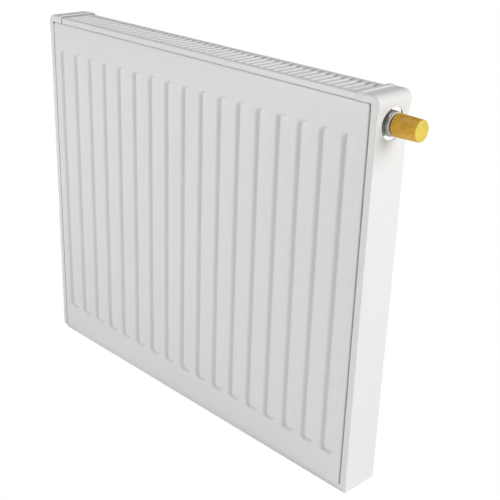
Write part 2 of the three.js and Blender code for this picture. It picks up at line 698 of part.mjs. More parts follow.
function buildSpring() {
  class Helix extends THREE.Curve {
    getPoint(t, target = new THREE.Vector3()) {
      const [from, to] = [DISC_BACK + 1.4 + 2 * SPRING_WIRE, SPRING_END - 2 * SPRING_WIRE];
      const angle = 2 * Math.PI * SPRING_TURNS * t;
      return target.set(
        from + (to - from) * t,
        -CONNECTION_DEPTH + SPRING_RADIUS * Math.cos(angle),
        VALVE_HEIGHT + SPRING_RADIUS * Math.sin(angle),
      );
    }
  }
  const wire = new THREE.Shape();
  wire.absarc(0, 0, SPRING_WIRE, 0, 2 * Math.PI);
  const options = { steps: 10 * SPRING_TURNS, extrudePath: new Helix(), curveSegments: 3 };
  add('return_spring', toSolid(new THREE.ExtrudeGeometry(wire, options)), springSteel());
}

function buildGland() {
  const z = VALVE_HEIGHT;
  const span = [NECK_END - 8.7, NECK_END - 2];
  const bore = turnedAcross(rod(PIN_RADIUS + CLEARANCE, [span[0] - 1, span[1] + 1]), VALVE_SIDE, z, 16);
  const nut = hexAcross(2 * GLAND_RADIUS * Math.cos(Math.PI / 6), VALVE_SIDE, [span[0] + 2, span[1]], z);
  const root = turnedAcross(rod(GLAND_RADIUS - 1, [span[0], span[0] + 2.1]), VALVE_SIDE, z);
  add('gland_nut', nut.add(root).subtract(bore), brass());
}

const PRESET_SPAN = [COLLAR_FACE + 0.3, COLLAR_FACE + 2.4];
const PRESET_RADIUS = 13.6;
const CAP_BASE = LENGTH / 2 + 7;
const CAP_TIP = LENGTH / 2 + 38.8;
const CAP_BASE_RADIUS = 13.1;
const CAP_TIP_RADIUS = 12.2;
const CAP_EDGE = 1.2;
const CAP_WALL_INSIDE = NECK_THREAD + CLEARANCE;

function buildPresetRing() {
  const band = ring(NECK_THREAD + CLEARANCE, PRESET_RADIUS, PRESET_SPAN);
  add('preset_ring', turnedAcross(band, VALVE_SIDE, VALVE_HEIGHT, ROUND), whitePlastic());
}

function buildProtectiveCap() {
  const pushFace = NECK_END + PIN_REACH + CLEARANCE;
  const roof = NECK_END + VALVE_LIFT + 2 * CLEARANCE;
  const cap = turnedAcross([
    [CAP_WALL_INSIDE, CAP_BASE],
    [CAP_BASE_RADIUS, CAP_BASE],
    [CAP_TIP_RADIUS, CAP_TIP - CAP_EDGE],
    [CAP_TIP_RADIUS - 0.3 * CAP_EDGE, CAP_TIP - 0.3 * CAP_EDGE],
    [CAP_TIP_RADIUS - CAP_EDGE, CAP_TIP],
    [0, CAP_TIP],
    [0, pushFace],
    [3, pushFace],
    [3, pushFace + 3],
    [CAP_WALL_INSIDE - 1, pushFace + 3],
    [CAP_WALL_INSIDE - 1, roof],
    [CAP_WALL_INSIDE, roof],
    [CAP_WALL_INSIDE, CAP_BASE],
  ], VALVE_SIDE, VALVE_HEIGHT, ROUND);
  add('protective_cap', cap, yellowPlastic());
}

// ---------------------------------------------------------------- supply pipe and lower nipples

const NIPPLE_RADIUS = 13.2;
const NIPPLE_BORE = 8;
const NIPPLE_FACE = 2;                    // above the bottom edge
const NIPPLE_SPACING = 50;
const RETURN_X = LENGTH / 2 - 33;
const SUPPLY_X = RETURN_X - NIPPLE_SPACING;
const PIPE_LOW = 36;

function tubeAlong(path, radius, steps) {
  const circle = new THREE.Shape();
  circle.absarc(0, 0, radius, 0, 2 * Math.PI);
  return toSolid(new THREE.ExtrudeGeometry(circle, { steps, extrudePath: path, curveSegments: 8 }));
}

function buildSupplyPipe() {
  const top = VALVE_HEIGHT - HOUSING_RADIUS;
  const bendTop = 150;
  const bendLow = 80;
  const steps = 20;
  const point = (x, z) => new THREE.Vector3(x, -CONNECTION_DEPTH, z);
  const middle = point((PIPE_X + SUPPLY_X) / 2, (bendTop + bendLow) / 2);
  const third = (bendTop - bendLow) / 3;
  const upper = new THREE.QuadraticBezierCurve3(point(PIPE_X, bendTop), point(PIPE_X, bendTop - third), middle);
  const lower = new THREE.QuadraticBezierCurve3(middle, point(SUPPLY_X, bendLow + third), point(SUPPLY_X, bendLow));
  const path = new THREE.CurvePath();
  path.add(new THREE.LineCurve3(point(PIPE_X, top), point(PIPE_X, bendTop)));
  path.add(upper);
  path.add(lower);
  path.add(new THREE.LineCurve3(point(SUPPLY_X, bendLow), point(SUPPLY_X, PIPE_LOW)));
  const outside = tubeAlong(path, PIPE_RADIUS, steps);
  const inside = tubeAlong(path, PIPE_RADIUS - PIPE_WALL, steps);
  add('supply_pipe', outside.subtract(inside), whiteEnamel());
}

function buildNipples() {
  const top = LOWER_HEIGHT - BOSS_RADIUS - CLEARANCE;
  const returnNipple = turnedUpright(ring(NIPPLE_BORE, NIPPLE_RADIUS, [NIPPLE_FACE, top]), RETURN_X, ROUND);
  add('return_nipple', returnNipple, nickel());
  const supply = turnedUpright([
    [NIPPLE_BORE, NIPPLE_FACE],
    [NIPPLE_RADIUS, NIPPLE_FACE],
    [NIPPLE_RADIUS, top],
    [NIPPLE_RADIUS + 2, top],
    [NIPPLE_RADIUS + 2, top + 8],
    [SOCKET_RADIUS, top + 10],
    [SOCKET_RADIUS, PIPE_LOW + 12],
    [PIPE_RADIUS + CLEARANCE, PIPE_LOW + 12],
    [PIPE_RADIUS + CLEARANCE, PIPE_LOW - CLEARANCE],
    [NIPPLE_BORE - 3, PIPE_LOW - CLEARANCE],
    [NIPPLE_BORE - 3, NIPPLE_FACE + 12],
    [NIPPLE_BORE, NIPPLE_FACE + 10],
    [NIPPLE_BORE, NIPPLE_FACE],
  ], SUPPLY_X, ROUND);
  add('supply_nipple', supply, nickel());
}

// ---------------------------------------------------------------- assembly

buildPanel();
buildFins();
buildGrille();
buildCover(1, 'right_end_cover', VALVE_HOLE);
buildCover(-1, 'left_end_cover', KEY_HOLE);
for (const [side, word] of [[1, 'right'], [-1, 'left']]) {
  buildCoverClip(side, `cover_clip_${word}_upper`, HEIGHT * 0.75);
  buildCoverClip(side, `cover_clip_${word}_lower`, HEIGHT * 0.25);
  buildLug(`wall_lug_${word}_upper`, side * LUG_X, true);
  buildLug(`wall_lug_${word}_lower`, side * LUG_X, false);
}
buildGrilleClip('grille_clip_left', -LUG_X);
buildGrilleClip('grille_clip_middle', 0);
buildGrilleClip('grille_clip_right', LUG_X);
buildBoss('connection_upper_left', -1, VALVE_HEIGHT);
buildBoss('connection_lower_left', -1, LOWER_HEIGHT);
buildBoss('connection_lower_right', 1, LOWER_HEIGHT);
buildBlindPlug('blind_plug_lower_left', -1, LOWER_HEIGHT);
buildPlugSeal('plug_seal_lower_left', -1, LOWER_HEIGHT);
buildBlindPlug('blind_plug_lower_right', 1, LOWER_HEIGHT);
buildPlugSeal('plug_seal_lower_right', 1, LOWER_HEIGHT);
buildVent();
buildPlugSeal('vent_plug_seal', VENT_SIDE, VALVE_HEIGHT);
buildHousing();
buildInsert();
buildStem();
buildSpring();
buildGland();
buildPresetRing();
buildProtectiveCap();
buildSupplyPipe();
buildNipples();

export default radiator;
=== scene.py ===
"""Single-panel convector radiator with a built-in valve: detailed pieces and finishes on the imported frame."""

import math

import bmesh
import bpy
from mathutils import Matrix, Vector


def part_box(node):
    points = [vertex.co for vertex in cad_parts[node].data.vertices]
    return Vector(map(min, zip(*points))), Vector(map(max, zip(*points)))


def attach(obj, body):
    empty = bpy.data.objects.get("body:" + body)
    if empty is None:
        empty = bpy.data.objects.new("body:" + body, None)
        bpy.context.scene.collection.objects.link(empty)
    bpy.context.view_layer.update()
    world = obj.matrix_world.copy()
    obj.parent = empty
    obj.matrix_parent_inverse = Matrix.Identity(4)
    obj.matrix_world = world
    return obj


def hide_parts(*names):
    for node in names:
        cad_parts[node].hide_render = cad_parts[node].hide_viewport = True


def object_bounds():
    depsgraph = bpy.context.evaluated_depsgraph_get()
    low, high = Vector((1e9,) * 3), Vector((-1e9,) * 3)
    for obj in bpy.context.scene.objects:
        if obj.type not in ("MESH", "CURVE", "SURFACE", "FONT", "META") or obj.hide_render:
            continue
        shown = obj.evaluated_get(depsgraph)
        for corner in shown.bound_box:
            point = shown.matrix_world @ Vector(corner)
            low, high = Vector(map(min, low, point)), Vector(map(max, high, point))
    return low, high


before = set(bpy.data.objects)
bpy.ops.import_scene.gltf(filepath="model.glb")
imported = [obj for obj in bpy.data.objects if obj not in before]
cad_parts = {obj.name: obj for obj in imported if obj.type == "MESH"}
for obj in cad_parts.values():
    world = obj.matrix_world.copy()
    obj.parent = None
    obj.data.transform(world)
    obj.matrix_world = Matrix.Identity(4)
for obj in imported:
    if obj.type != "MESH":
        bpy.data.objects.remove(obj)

bl_info = {
    "name": "Panel Radiator",
    "version": (1, 0, 0),
    "blender": (4, 5, 0),
    "location": "View3D > Sidebar > Radiator",
    "description": "Builds the sheets, covers, grille, valve and fittings of a wall-hung panel radiator",
    "category": "Add Mesh",
}

MM = 0.001
CAD_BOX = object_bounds()
FRONT_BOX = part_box("front_panel_sheet")
REAR_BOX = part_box("rear_panel_sheet")
GRILLE_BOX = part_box("top_grille")
COVER_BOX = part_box("right_end_cover")
CAP_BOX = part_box("protective_cap")
AXIS_Y = (CAP_BOX[0].y + CAP_BOX[1].y) / 2
VALVE_Z = (CAP_BOX[0].z + CAP_BOX[1].z) / 2
SIDE_X = COVER_BOX[1].x - 2 * MM  # the flat side of an end cover, under its stepped top
HEIGHT = GRILLE_BOX[1].z


# ---------------------------------------------------------------- what a user may change


def distance(name, description, default):
    return bpy.props.FloatProperty(
        name=name,
        description=description,
        default=default,
        min=0.0,
        precision=4,
        subtype="DISTANCE",
        unit="LENGTH",
    )


def colour(name, description, default):
    return bpy.props.FloatVectorProperty(
        name=name,
        description=description,
        default=default,
        size=4,
        min=0.0,
        max=1.0,
        subtype="COLOR",
    )


class RadiatorSizes(bpy.types.PropertyGroup):
    """Sizes of the pressed, punched and turned details."""

    flute_pitch: distance("Flute pitch", "Between the middles of two flutes", 0.03333)
    flute_mouth: distance("Flute mouth", "Width of a flute at the face", 0.0244)
    flute_floor: distance("Flute floor", "Width of the flat bottom of a flute", 0.0144)
    relief: distance("Relief", "How far the water field stands out of the seam", 0.0046)
    sheet: distance("Sheet", "Thickness of a pressed sheet", 0.0012)
    slot_pitch: distance("Slot pitch", "Between two slots of the grille", 0.0116)
    slot_width: distance("Slot width", "Width of a grille slot", 0.0068)
    louvre_drop: distance("Louvre drop", "Height of the edge turned down beside a slot", 0.006)
    fold: distance("Fold", "Outer radius of an end cover's upright folds", 0.0017)
    shoulder: distance("Shoulder", "Rounding over the outer top edge of a cover", 0.010)
    rib_depth: distance("Rib depth", "Depth of the grip ribs on the protective cap", 0.0009)
    rib_count: bpy.props.IntProperty(
        name="Ribs", description="Grip ribs round the protective cap", default=36, min=8
    )


class RadiatorColours(bpy.types.PropertyGroup):
    """Colours of the finishes."""

    enamel: colour("Enamel", "Stoved enamel on the sheets", (0.878, 0.878, 0.870, 1))
    dust: colour("Dust", "Dust that settles on upward faces", (0.60, 0.585, 0.56, 1))
    primer: colour("Primer", "Thin coat on the fins", (0.74, 0.74, 0.725, 1))
    steel: colour("Steel", "Zinc-plated turned steel", (0.42, 0.43, 0.44, 1))
    strip: colour("Spring strip", "Bright spring steel", (0.40, 0.41, 0.43, 1))
    nickel: colour("Nickel", "Satin nickel plate", (0.56, 0.56, 0.535, 1))
    brass: colour("Brass", "Turned brass", (0.60, 0.44, 0.18, 1))
    rubber: colour("Rubber", "Seals", (0.022, 0.022, 0.023, 1))
    cap: colour("Cap", "Moulded cap, ribbed side", (0.80, 0.47, 0.035, 1))
    # The end face gets a lighter, yellower copy of the cap's own colour: painted light standing in for the
    # light that the end face catches.
    cap_end_painted_light: colour("Cap end", "Moulded cap, end face", (0.86, 0.66, 0.085, 1))
    ring: colour("Ring", "Moulded setting ring", (0.80, 0.80, 0.78, 1))
    floor: colour("Floor", "Floor under the radiator", (0.95, 0.95, 0.95, 1))


def sizes():
    return bpy.context.scene.radiator_sizes


def colours():
    return bpy.context.scene.radiator_colours


# ---------------------------------------------------------------- shared shader effects


PALE = (0.9, 0.9, 0.9, 1)


def new_effect(name, inputs, outputs):
    """An empty shader node group with named sockets; a default of four numbers is a colour."""
    group = bpy.data.node_groups.new(name, "ShaderNodeTree")
    for label, default in inputs.items():
        kind = "NodeSocketColor" if isinstance(default, tuple) else "NodeSocketFloat"
        group.interface.new_socket(label, in_out="INPUT", socket_type=kind).default_value = default
    for label in outputs:
        kind = "NodeSocketColor" if label == "Color" else "NodeSocketFloat"
        group.interface.new_socket(label, in_out="OUTPUT", socket_type=kind)
    return group, group.nodes.new("NodeGroupInput").outputs, group.nodes.new("NodeGroupOutput").inputs


def give(group, end, results):
    """Links what a group works out to its own outputs."""
    for label, value in results.items():
        group.links.new(value, end[label])
    return group


def node(tree, kind, values=None, **settings):
    """A node with its settings, and its inputs set or linked by name or number."""
    made = tree.nodes.new(kind)
    for key, value in settings.items():
        setattr(made, key, value)
    for key, value in (values or {}).items():
        if isinstance(value, bpy.types.NodeSocket):
            tree.links.new(value, made.inputs[key])
        else:
            made.inputs[key].default_value = value
    return made


def placed(tree, scale):
    """Object coordinates in metres, stretched along each axis."""
    coordinates = node(tree, "ShaderNodeTexCoord").outputs["Object"]
    return node(tree, "ShaderNodeMapping", {"Vector": coordinates, "Scale": scale}).outputs["Vector"]


def noise(tree, scale, detail=2.0, rough=0.5, stretch=(1, 1, 1)):
    values = {"Vector": placed(tree, stretch), "Scale": scale, "Detail": detail, "Roughness": rough}
    return node(tree, "ShaderNodeTexNoise", values).outputs["Fac"]


def ramp(tree, value, low, high, to_low=0.0, to_high=1.0):
    values = {"Value": value, "From Min": low, "From Max": high, "To Min": to_low, "To Max": to_high}
    return node(tree, "ShaderNodeMapRange", values).outputs["Result"]


def gloss_between(group, start, value, low, high):
    """A roughness between the two that the material gives the group."""
    return ramp(group, value, low, high, start["Gloss Low"], start["Gloss High"])


def maths(tree, operation, a, b):
    return node(tree, "ShaderNodeMath", {0: a, 1: b}, operation=operation).outputs[0]


def times(tree, a, b):
    return maths(tree, "MULTIPLY", a, b)


def mixed(tree, factor, a, b):
    return node(tree, "ShaderNodeMix", {0: factor, 6: a, 7: b}, data_type="RGBA").outputs[2]


def make_lacquer():
    """Stoved coat: slow tone drift, and the fine waviness known as orange peel."""
    group, start, end = new_effect(
        "Lacquer Film",
        {"Color": PALE, "Drift": 0.02, "Gloss Low": 0.26, "Gloss High": 0.36},
        ("Color", "Roughness", "Height"),
    )
    drift = ramp(group, noise(group, 6.0, 3.0), 0.35, 0.65)
    shade = mixed(group, start["Drift"], start["Color"], (0.55, 0.55, 0.53, 1))
    peel, wave = noise(group, 420.0, 2.0, 0.45), noise(group, 60.0, 1.0)
    return give(group, end, {
        "Color": mixed(group, drift, start["Color"], shade),
        "Roughness": gloss_between(group, start, noise(group, 35.0, 4.0), 0.3, 0.7),
        "Height": maths(group, "ADD", peel, times(group, wave, 0.25)),
    })


def make_dust():
    """Dust that lies on upward faces in a broken film."""
    group, start, end = new_effect(
        "Settled Dust", {"Color": PALE, "Dust": (0.6, 0.58, 0.55, 1), "Amount": 0.2}, ("Color",)
    )
    normal = node(group, "ShaderNodeNewGeometry").outputs["Normal"]
    upward = node(group, "ShaderNodeSeparateXYZ", {"Vector": normal}).outputs["Z"]
    patches = ramp(group, noise(group, 140.0, 5.0, 0.65), 0.25, 0.80)
    lying = times(group, ramp(group, upward, 0.35, 0.95), patches)
    mask = times(group, lying, start["Amount"])
    return give(group, end, {"Color": mixed(group, mask, start["Color"], start["Dust"])})


def make_edge_rub():
    """Where an edge is rubbed: compares the surface with a slightly rounded one."""
    group, start, end = new_effect(
        "Rubbed Edge", {"Color": PALE, "Under": (0.6, 0.6, 0.6, 1), "Amount": 0.5}, ("Color",)
    )
    normals = {
        0: node(group, "ShaderNodeNewGeometry").outputs["Normal"],
        1: node(group, "ShaderNodeBevel", {"Radius": 0.0007}, samples=4).outputs["Normal"],
    }
    same = node(group, "ShaderNodeVectorMath", normals, operation="DOT_PRODUCT").outputs["Value"]
    broken = ramp(group, noise(group, 260.0, 4.0, 0.7), 0.42, 0.62)
    mask = times(group, times(group, ramp(group, same, 0.995, 0.90), broken), start["Amount"])
    return give(group, end, {"Color": mixed(group, mask, start["Color"], start["Under"])})


def make_tool_marks():
    """Turned or drawn metal: fine lines with a little stain."""
    group, start, end = new_effect(
        "Tool Marks",
        {"Color": PALE, "Stain": (0.2, 0.2, 0.2, 1), "Gloss Low": 0.25, "Gloss High": 0.45},
        ("Color", "Roughness", "Height"),
    )
    lines = noise(group, 60.0, 3.0, 0.6, stretch=(60, 1, 1))
    cloud = times(group, ramp(group, noise(group, 110.0, 4.0, 0.6), 0.45, 0.75), 0.5)
    worn = maths(group, "ADD", times(group, lines, 0.5), cloud)
    return give(group, end, {
        "Color": mixed(group, cloud, start["Color"], start["Stain"]),
        "Roughness": gloss_between(group, start, worn, 0.2, 0.8),
        "Height": lines,
    })


def make_moulding():
    """Moulded plastic: fine spark-eroded grain, slight colour clouds."""
    group, start, end = new_effect(
        "Moulded Grain",
        {"Color": PALE, "Deep": (0.5, 0.5, 0.5, 1), "Gloss Low": 0.35, "Gloss High": 0.5},
        ("Color", "Roughness", "Height"),
    )
    cloud = ramp(group, noise(group, 160.0, 3.0), 0.4, 0.7)
    grain = noise(group, 2600.0, 2.0, 0.6)
    return give(group, end, {
        "Color": mixed(group, cloud, start["Color"], start["Deep"]),
        "Roughness": gloss_between(group, start, grain, 0.3, 0.7),
        "Height": grain,
    })


EFFECTS = {
    "Lacquer Film": make_lacquer,
    "Settled Dust": make_dust,
    "Rubbed Edge": make_edge_rub,
    "Tool Marks": make_tool_marks,
    "Moulded Grain": make_moulding,
}


def effect(tree, name, values):
    group = bpy.data.node_groups.get(name) or EFFECTS[name]()
    return node(tree, "ShaderNodeGroup", values, node_tree=group).outputs


# ---------------------------------------------------------------- finishes


def blank(name, **shader_values):
    """A material with a Principled shader whose even values are set on its own sockets."""
    made = bpy.data.materials.new(name)
    made.use_nodes = True
    shader = made.node_tree.nodes["Principled BSDF"]
    for key, value in shader_values.items():
        shader.inputs[key.replace("_", " ")].default_value = value
    return made, made.node_tree, shader


def surface(tree, shader, color, roughness, height, bump, reach):
    values = {"Height": height, "Strength": bump, "Distance": reach}
    bumped = node(tree, "ShaderNodeBump", values).outputs["Normal"]
    tree.links.new(color, shader.inputs["Base Color"])
    tree.links.new(roughness, shader.inputs["Roughness"])
    tree.links.new(bumped, shader.inputs["Normal"])


def coated(name, color, drift, gloss, dust, rub=0.0, coat=0.2):
    made, tree, shader = blank(name, Coat_Weight=coat, Coat_Roughness=0.12)
    film = effect(
        tree,
        "Lacquer Film",
        {"Color": color, "Drift": drift, "Gloss Low": gloss[0], "Gloss High": gloss[1]},
    )
    tint = film["Color"]
    if rub:
        tint = effect(
            tree,
            "Rubbed Edge",
            {"Color": tint, "Under": (0.62, 0.62, 0.60, 1), "Amount": rub},
        )["Color"]
    tint = effect(
        tree, "Settled Dust", {"Color": tint, "Dust": tuple(colours().dust), "Amount": dust}
    )["Color"]
    surface(tree, shader, tint, film["Roughness"], film["Height"], 0.10, 0.00035)
    return made


def metal(name, color, stain, gloss, rub=0.0):
    made, tree, shader = blank(name, Metallic=1.0)
    marks = effect(
        tree,
        "Tool Marks",
        {"Color": color, "Stain": stain, "Gloss Low": gloss[0], "Gloss High": gloss[1]},
    )
    tint = marks["Color"]
    if rub:
        tint = effect(
            tree, "Rubbed Edge", {"Color": tint, "Under": (0.8, 0.8, 0.78, 1), "Amount": rub}
        )["Color"]
    surface(tree, shader, tint, marks["Roughness"], marks["Height"], 0.12, 0.0001)
    return made


def moulded(name, color, deep, gloss, bump=0.25, scatter=0.0):
    made, tree, shader = blank(name, Subsurface_Weight=scatter, Subsurface_Scale=0.002)
    grain = effect(
        tree,
        "Moulded Grain",
        {"Color": color, "Deep": deep, "Gloss Low": gloss[0], "Gloss High": gloss[1]},
    )
    surface(tree, shader, grain["Color"], grain["Roughness"], grain["Height"], bump, 0.00006)
    return made


def deeper(value, share):
    return tuple(channel * share for channel in value[:3]) + (1.0,)


def make_finish(name):
    c = colours()
    builders = {
        "white enamel": lambda: coated(name, tuple(c.enamel), 0.02, (0.30, 0.33), 0.10),
        "white enamel on trim": lambda: coated(
            name, tuple(c.enamel), 0.015, (0.29, 0.32), 0.10, rub=0.12),
        "primer": lambda: coated(name, tuple(c.primer), 0.22, (0.48, 0.66), 0.45, coat=0.0),
        "zinc-plated steel": lambda: metal(
            name, tuple(c.steel), (0.19, 0.185, 0.17, 1), (0.26, 0.5), rub=0.5),
        "spring strip": lambda: metal(
            name, tuple(c.strip), (0.12, 0.12, 0.13, 1), (0.2, 0.38), rub=0.3),
        "satin nickel": lambda: metal(
            name, tuple(c.nickel), (0.31, 0.30, 0.26, 1), (0.22, 0.42), rub=0.4),
        "turned brass": lambda: metal(
            name, tuple(c.brass), (0.30, 0.19, 0.07, 1), (0.22, 0.42), rub=0.3),
        "seal rubber": lambda: moulded(
            name, tuple(c.rubber), (0.035, 0.034, 0.033, 1), (0.6, 0.85), 0.4),
        "cap plastic": lambda: moulded(
            name, tuple(c.cap), deeper(c.cap, 0.80), (0.34, 0.48), 0.3, scatter=0.08),
        # Lighter, yellower copy of the cap colour for the end face: painted light, not a different plastic.
        "cap end plastic, painted light": lambda: moulded(
            name, tuple(c.cap_end_painted_light), deeper(c.cap_end_painted_light, 0.86), (0.30, 0.44), 0.3, scatter=0.08),
        "ring plastic": lambda: moulded(name, tuple(c.ring), deeper(c.ring, 0.88), (0.35, 0.5)),
    }
    return builders[name]()


def finish_for(name):
    return bpy.data.materials.get(name) or make_finish(name)


# ---------------------------------------------------------------- making meshes


class Stock:
    """Vertices shared by place, and faces over them."""

    def __init__(self):
        self.points = []
        self.places = {}
        self.faces = []
        self.kinds = []

    def point(self, x, y, z):
        key = (round(x, 7), round(y, 7), round(z, 7))
        if key not in self.places:
            self.places[key] = len(self.points)
            self.points.append(key)
        return self.places[key]

    def face(self, corners, kind=0):
        """Adds a face through places, leaving out any that fall together."""
        found = []
        for corner in corners:
            index = self.point(*corner)
            if index not in found:
                found.append(index)
        if len(found) > 2:
            self.faces.append(found)
            self.kinds.append(kind)


def to_object(name, stock, outward=True):
    mesh = bpy.data.meshes.new(name)
    mesh.from_pydata(stock.points, [], stock.faces)
    mesh.polygons.foreach_set("material_index", stock.kinds)
    if outward:
        shape = bmesh.new()
        shape.from_mesh(mesh)
        bmesh.ops.recalc_face_normals(shape, faces=shape.faces)
        shape.to_mesh(mesh)
        shape.free()
    made = bpy.data.objects.new(name, mesh)
    bpy.context.scene.collection.objects.link(made)
    return made


def smooth(piece, angle=35.0):
    piece.data.shade_smooth()
    piece.data.set_sharp_from_angle(angle=math.radians(angle))


def softened(piece, width, segments=2, angle=40.0):
    """Rounds the sharp edges and keeps the flats flat."""
    bevel = piece.modifiers.new("Softened edges", "BEVEL")
    bevel.width = width
    bevel.segments = segments
    bevel.limit_method = "ANGLE"
    bevel.angle_limit = math.radians(angle)
    bevel.use_clamp_overlap = True
    flats = piece.modifiers.new("Flat faces", "WEIGHTED_NORMAL")
    flats.keep_sharp = True


def settled(piece):
    """Writes the modifiers' result into the piece's own mesh."""
    bpy.context.view_layer.update()
    seen = piece.evaluated_get(bpy.context.evaluated_depsgraph_get())
    mesh = bpy.data.meshes.new_from_object(seen)
    old = piece.data
    piece.modifiers.clear()
    piece.data = mesh
    mesh.name = piece.name
    bpy.data.meshes.remove(old)


def placed_on(piece, body, finishes, nodes):
    for name in finishes:
        piece.data.materials.append(finish_for(name))
    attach(piece, body)
    if nodes:
        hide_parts(*nodes)
    return piece


def arc(centre, radius, start, end, steps):
    """Points on a circle in a plane, by angle in degrees."""
    return [
        (
            centre[0] + radius * math.cos(math.radians(start + (end - start) * i / steps)),
            centre[1] + radius * math.sin(math.radians(start + (end - start) * i / steps)),
        )
        for i in range(steps + 1)
    ]


def bent_line(corners, radius, steps=5):
    """A line through corners, with each inner corner rounded."""
    points = [Vector(corners[0])]
    for before, corner, after in zip(corners, corners[1:], corners[2:]):
        before, corner, after = Vector(before), Vector(corner), Vector(after)
        come, leave = (before - corner).normalized(), (after - corner).normalized()
        half = come.angle(leave) / 2
        trim = min(radius / math.tan(half), (before - corner).length * 0.49,
                   (after - corner).length * 0.49)
        start, end = corner + come * trim, corner + leave * trim
        for i in range(steps + 1):
            t = i / steps
            points.append(start * (1 - t) ** 2 + corner * 2 * t * (1 - t) + end * t * t)
    points.append(Vector(corners[-1]))
    return points


def strip_outline(corners, thickness, radius, steps=5):
    """Both faces of a bent strip, as one closed outline."""
    line = bent_line(corners, radius, steps)
    sides = ([], [])
    for i, point in enumerate(line):
        along = (line[min(i + 1, len(line) - 1)] - line[max(i - 1, 0)]).normalized()
        across = Vector((-along.y, along.x)) * thickness / 2
        sides[0].append(point + across)
        sides[1].append(point - across)
    return sides[0] + sides[1][::-1]


def add_skin(stock, loops, closed=False, kinds=None):
    """Faces between matching loops of points; closed joins the last loop to the first."""
    following = loops[1:] + (loops[:1] if closed else [])
    for step, (one, two) in enumerate(zip(loops, following)):
        for i in range(len(one)):
            j = (i + 1) % len(one)
            stock.face([one[i], one[j], two[j], two[i]], kinds[step] if kinds else 0)


def add_prism(stock, outline, place, low, high):
    """A closed outline drawn along a third axis; place(u, v, w) gives the point."""
    start, end = ([place(u, v, level) for u, v in outline] for level in (low, high))
    add_skin(stock, [start, end])
    stock.face(start[::-1])
    stock.face(end)


def add_strip_prism(stock, outline, place, low, high):
    """A bent strip drawn along a third axis, its ends closed with one face for each step."""
    count = len(outline)
    add_skin(stock, [[place(u, v, level) for u, v in outline] for level in (low, high)])
    for level in (low, high):
        for i in range(count // 2 - 1):
            ends = [outline[i], outline[i + 1], outline[count - 2 - i], outline[count - 1 - i]]
            stock.face([place(u, v, level) for u, v in ends])


def circle(place, along, radius, facets):
    """Points round an axis; place(along, a, b) gives the point."""
    turns = [2 * math.pi * i / facets for i in range(facets)]
    return [place(along, radius * math.cos(turn), radius * math.sin(turn)) for turn in turns]


def add_turned(stock, profile, place, facets=96, closed=False):
    """Turns (radius, along) points round an axis."""
    add_skin(stock, [circle(place, along, radius, facets) for radius, along in profile], closed)


def across(side, z):
    """Along the radiator's length, growing outwards on that side."""
    return lambda along, a, b: (side * along, AXIS_Y + a, z + b)


def upright(x, y):
    return lambda along, a, b: (x + a, y + b, along)


def backward(x, z):
    return lambda along, a, b: (x + a, along, z + b)


def hexagon(flats):
    corner = flats / math.sqrt(3)
    return [
        (corner * math.cos(math.radians(60 * i)), corner * math.sin(math.radians(60 * i)))
        for i in range(6)
    ]


def add_hexagon(stock, flats, side, low, high, z):
    add_prism(stock, hexagon(flats), lambda a, b, along: across(side, z)(along, a, b), low, high)


# ---------------------------------------------------------------- pressed panel

FIELD_SIDE = 10 * MM  # flat side of a cover to the edge of the water field
FIELD_RISE = 9 * MM  # top and bottom of the panel to the edge of the water field
FIELD_CORNER = 3.0 * MM  # rounding of the field's own corners
BORDER = 9.6 * MM  # width of the crowned border round the flutes
CROWN = 0.2 * MM  # how far that border falls away towards its edge
EDGE_ROUND = 1.5 * MM  # rounding where the field turns down to the seam
FLUTE_CORNER = 4.5 * MM  # rounding of the flute floor's corners
FLUTE_INSET = 39.5 * MM  # edge of the field to the end of a flute
FILLET_SHARE = 0.2  # share of a flute's wall taken by the fillet at its floor
RIM_DROP = 1.3 * MM  # how far the lower rim hangs below its packed place
RIM_CHAMFER = 0.9 * MM


def runs(*spans):
    """Lines at even steps over joined spans: (start, end, step)."""
    lines = [spans[0][0]]
    for start, end, step in spans:
        count = max(1, round((end - start) / step))
        lines += [start + (end - start) * (i + 1) / count for i in range(count)]
    return lines


def flute_middles():
    pitch = sizes().flute_pitch
    count = round(2 * SIDE_X / pitch) - 1
    return [(i - (count - 1) / 2) * pitch for i in range(count)]


def rise(t):
    t = min(max(t, 0.0), 1.0)
    return t * t * (3 - 2 * t)


def flute_depth(x, z, flutes, span):
    """How deep the face is pressed at a place, as a share of the relief."""
    s = sizes()
    floor, corner = s.flute_floor / 2, FLUTE_CORNER
    run = s.flute_mouth / 2 - floor
    middle = min(flutes, key=lambda centre: abs(centre - x))
    qx = abs(x - middle) - (floor - corner)
    qz = abs(z - (span[0] + span[1]) / 2) - ((span[1] - span[0]) / 2 - corner)
    away = math.hypot(max(qx, 0.0), max(qz, 0.0)) + min(max(qx, qz), 0.0) - corner
    t = min(max(away / run, 0.0), 1.0)
    if t < FILLET_SHARE:
        return 1 - t * t / FILLET_SHARE
    return (1 - FILLET_SHARE) * ((1 - t) / (1 - FILLET_SHARE)) ** 2


def rim_rings():
    """(distance inside the field's edge, share of the relief) from the seam to the flat face."""
    relief, edge = sizes().relief, EDGE_ROUND
    rings = [(-0.9 * MM, 0.0), (-0.4 * MM, 0.01), (-0.1 * MM, 0.06), (0.0, 0.16),
             (0.05 * MM, 1 - 1.55 * edge / relief)]
    for i in range(1, 7):
        angle = math.radians(90 - 14 * i)
        fall = edge * (1 - math.cos(angle)) + CROWN
        rings.append((0.05 * MM + edge * (1 - math.sin(angle)), 1 - fall / relief))
    crown = rings[-1][0]
    for i in range(1, 6):
        t = i / 5
        rings.append((crown + (BORDER - crown) * t, 1 - CROWN / relief * (1 - t) ** 2))
    return rings


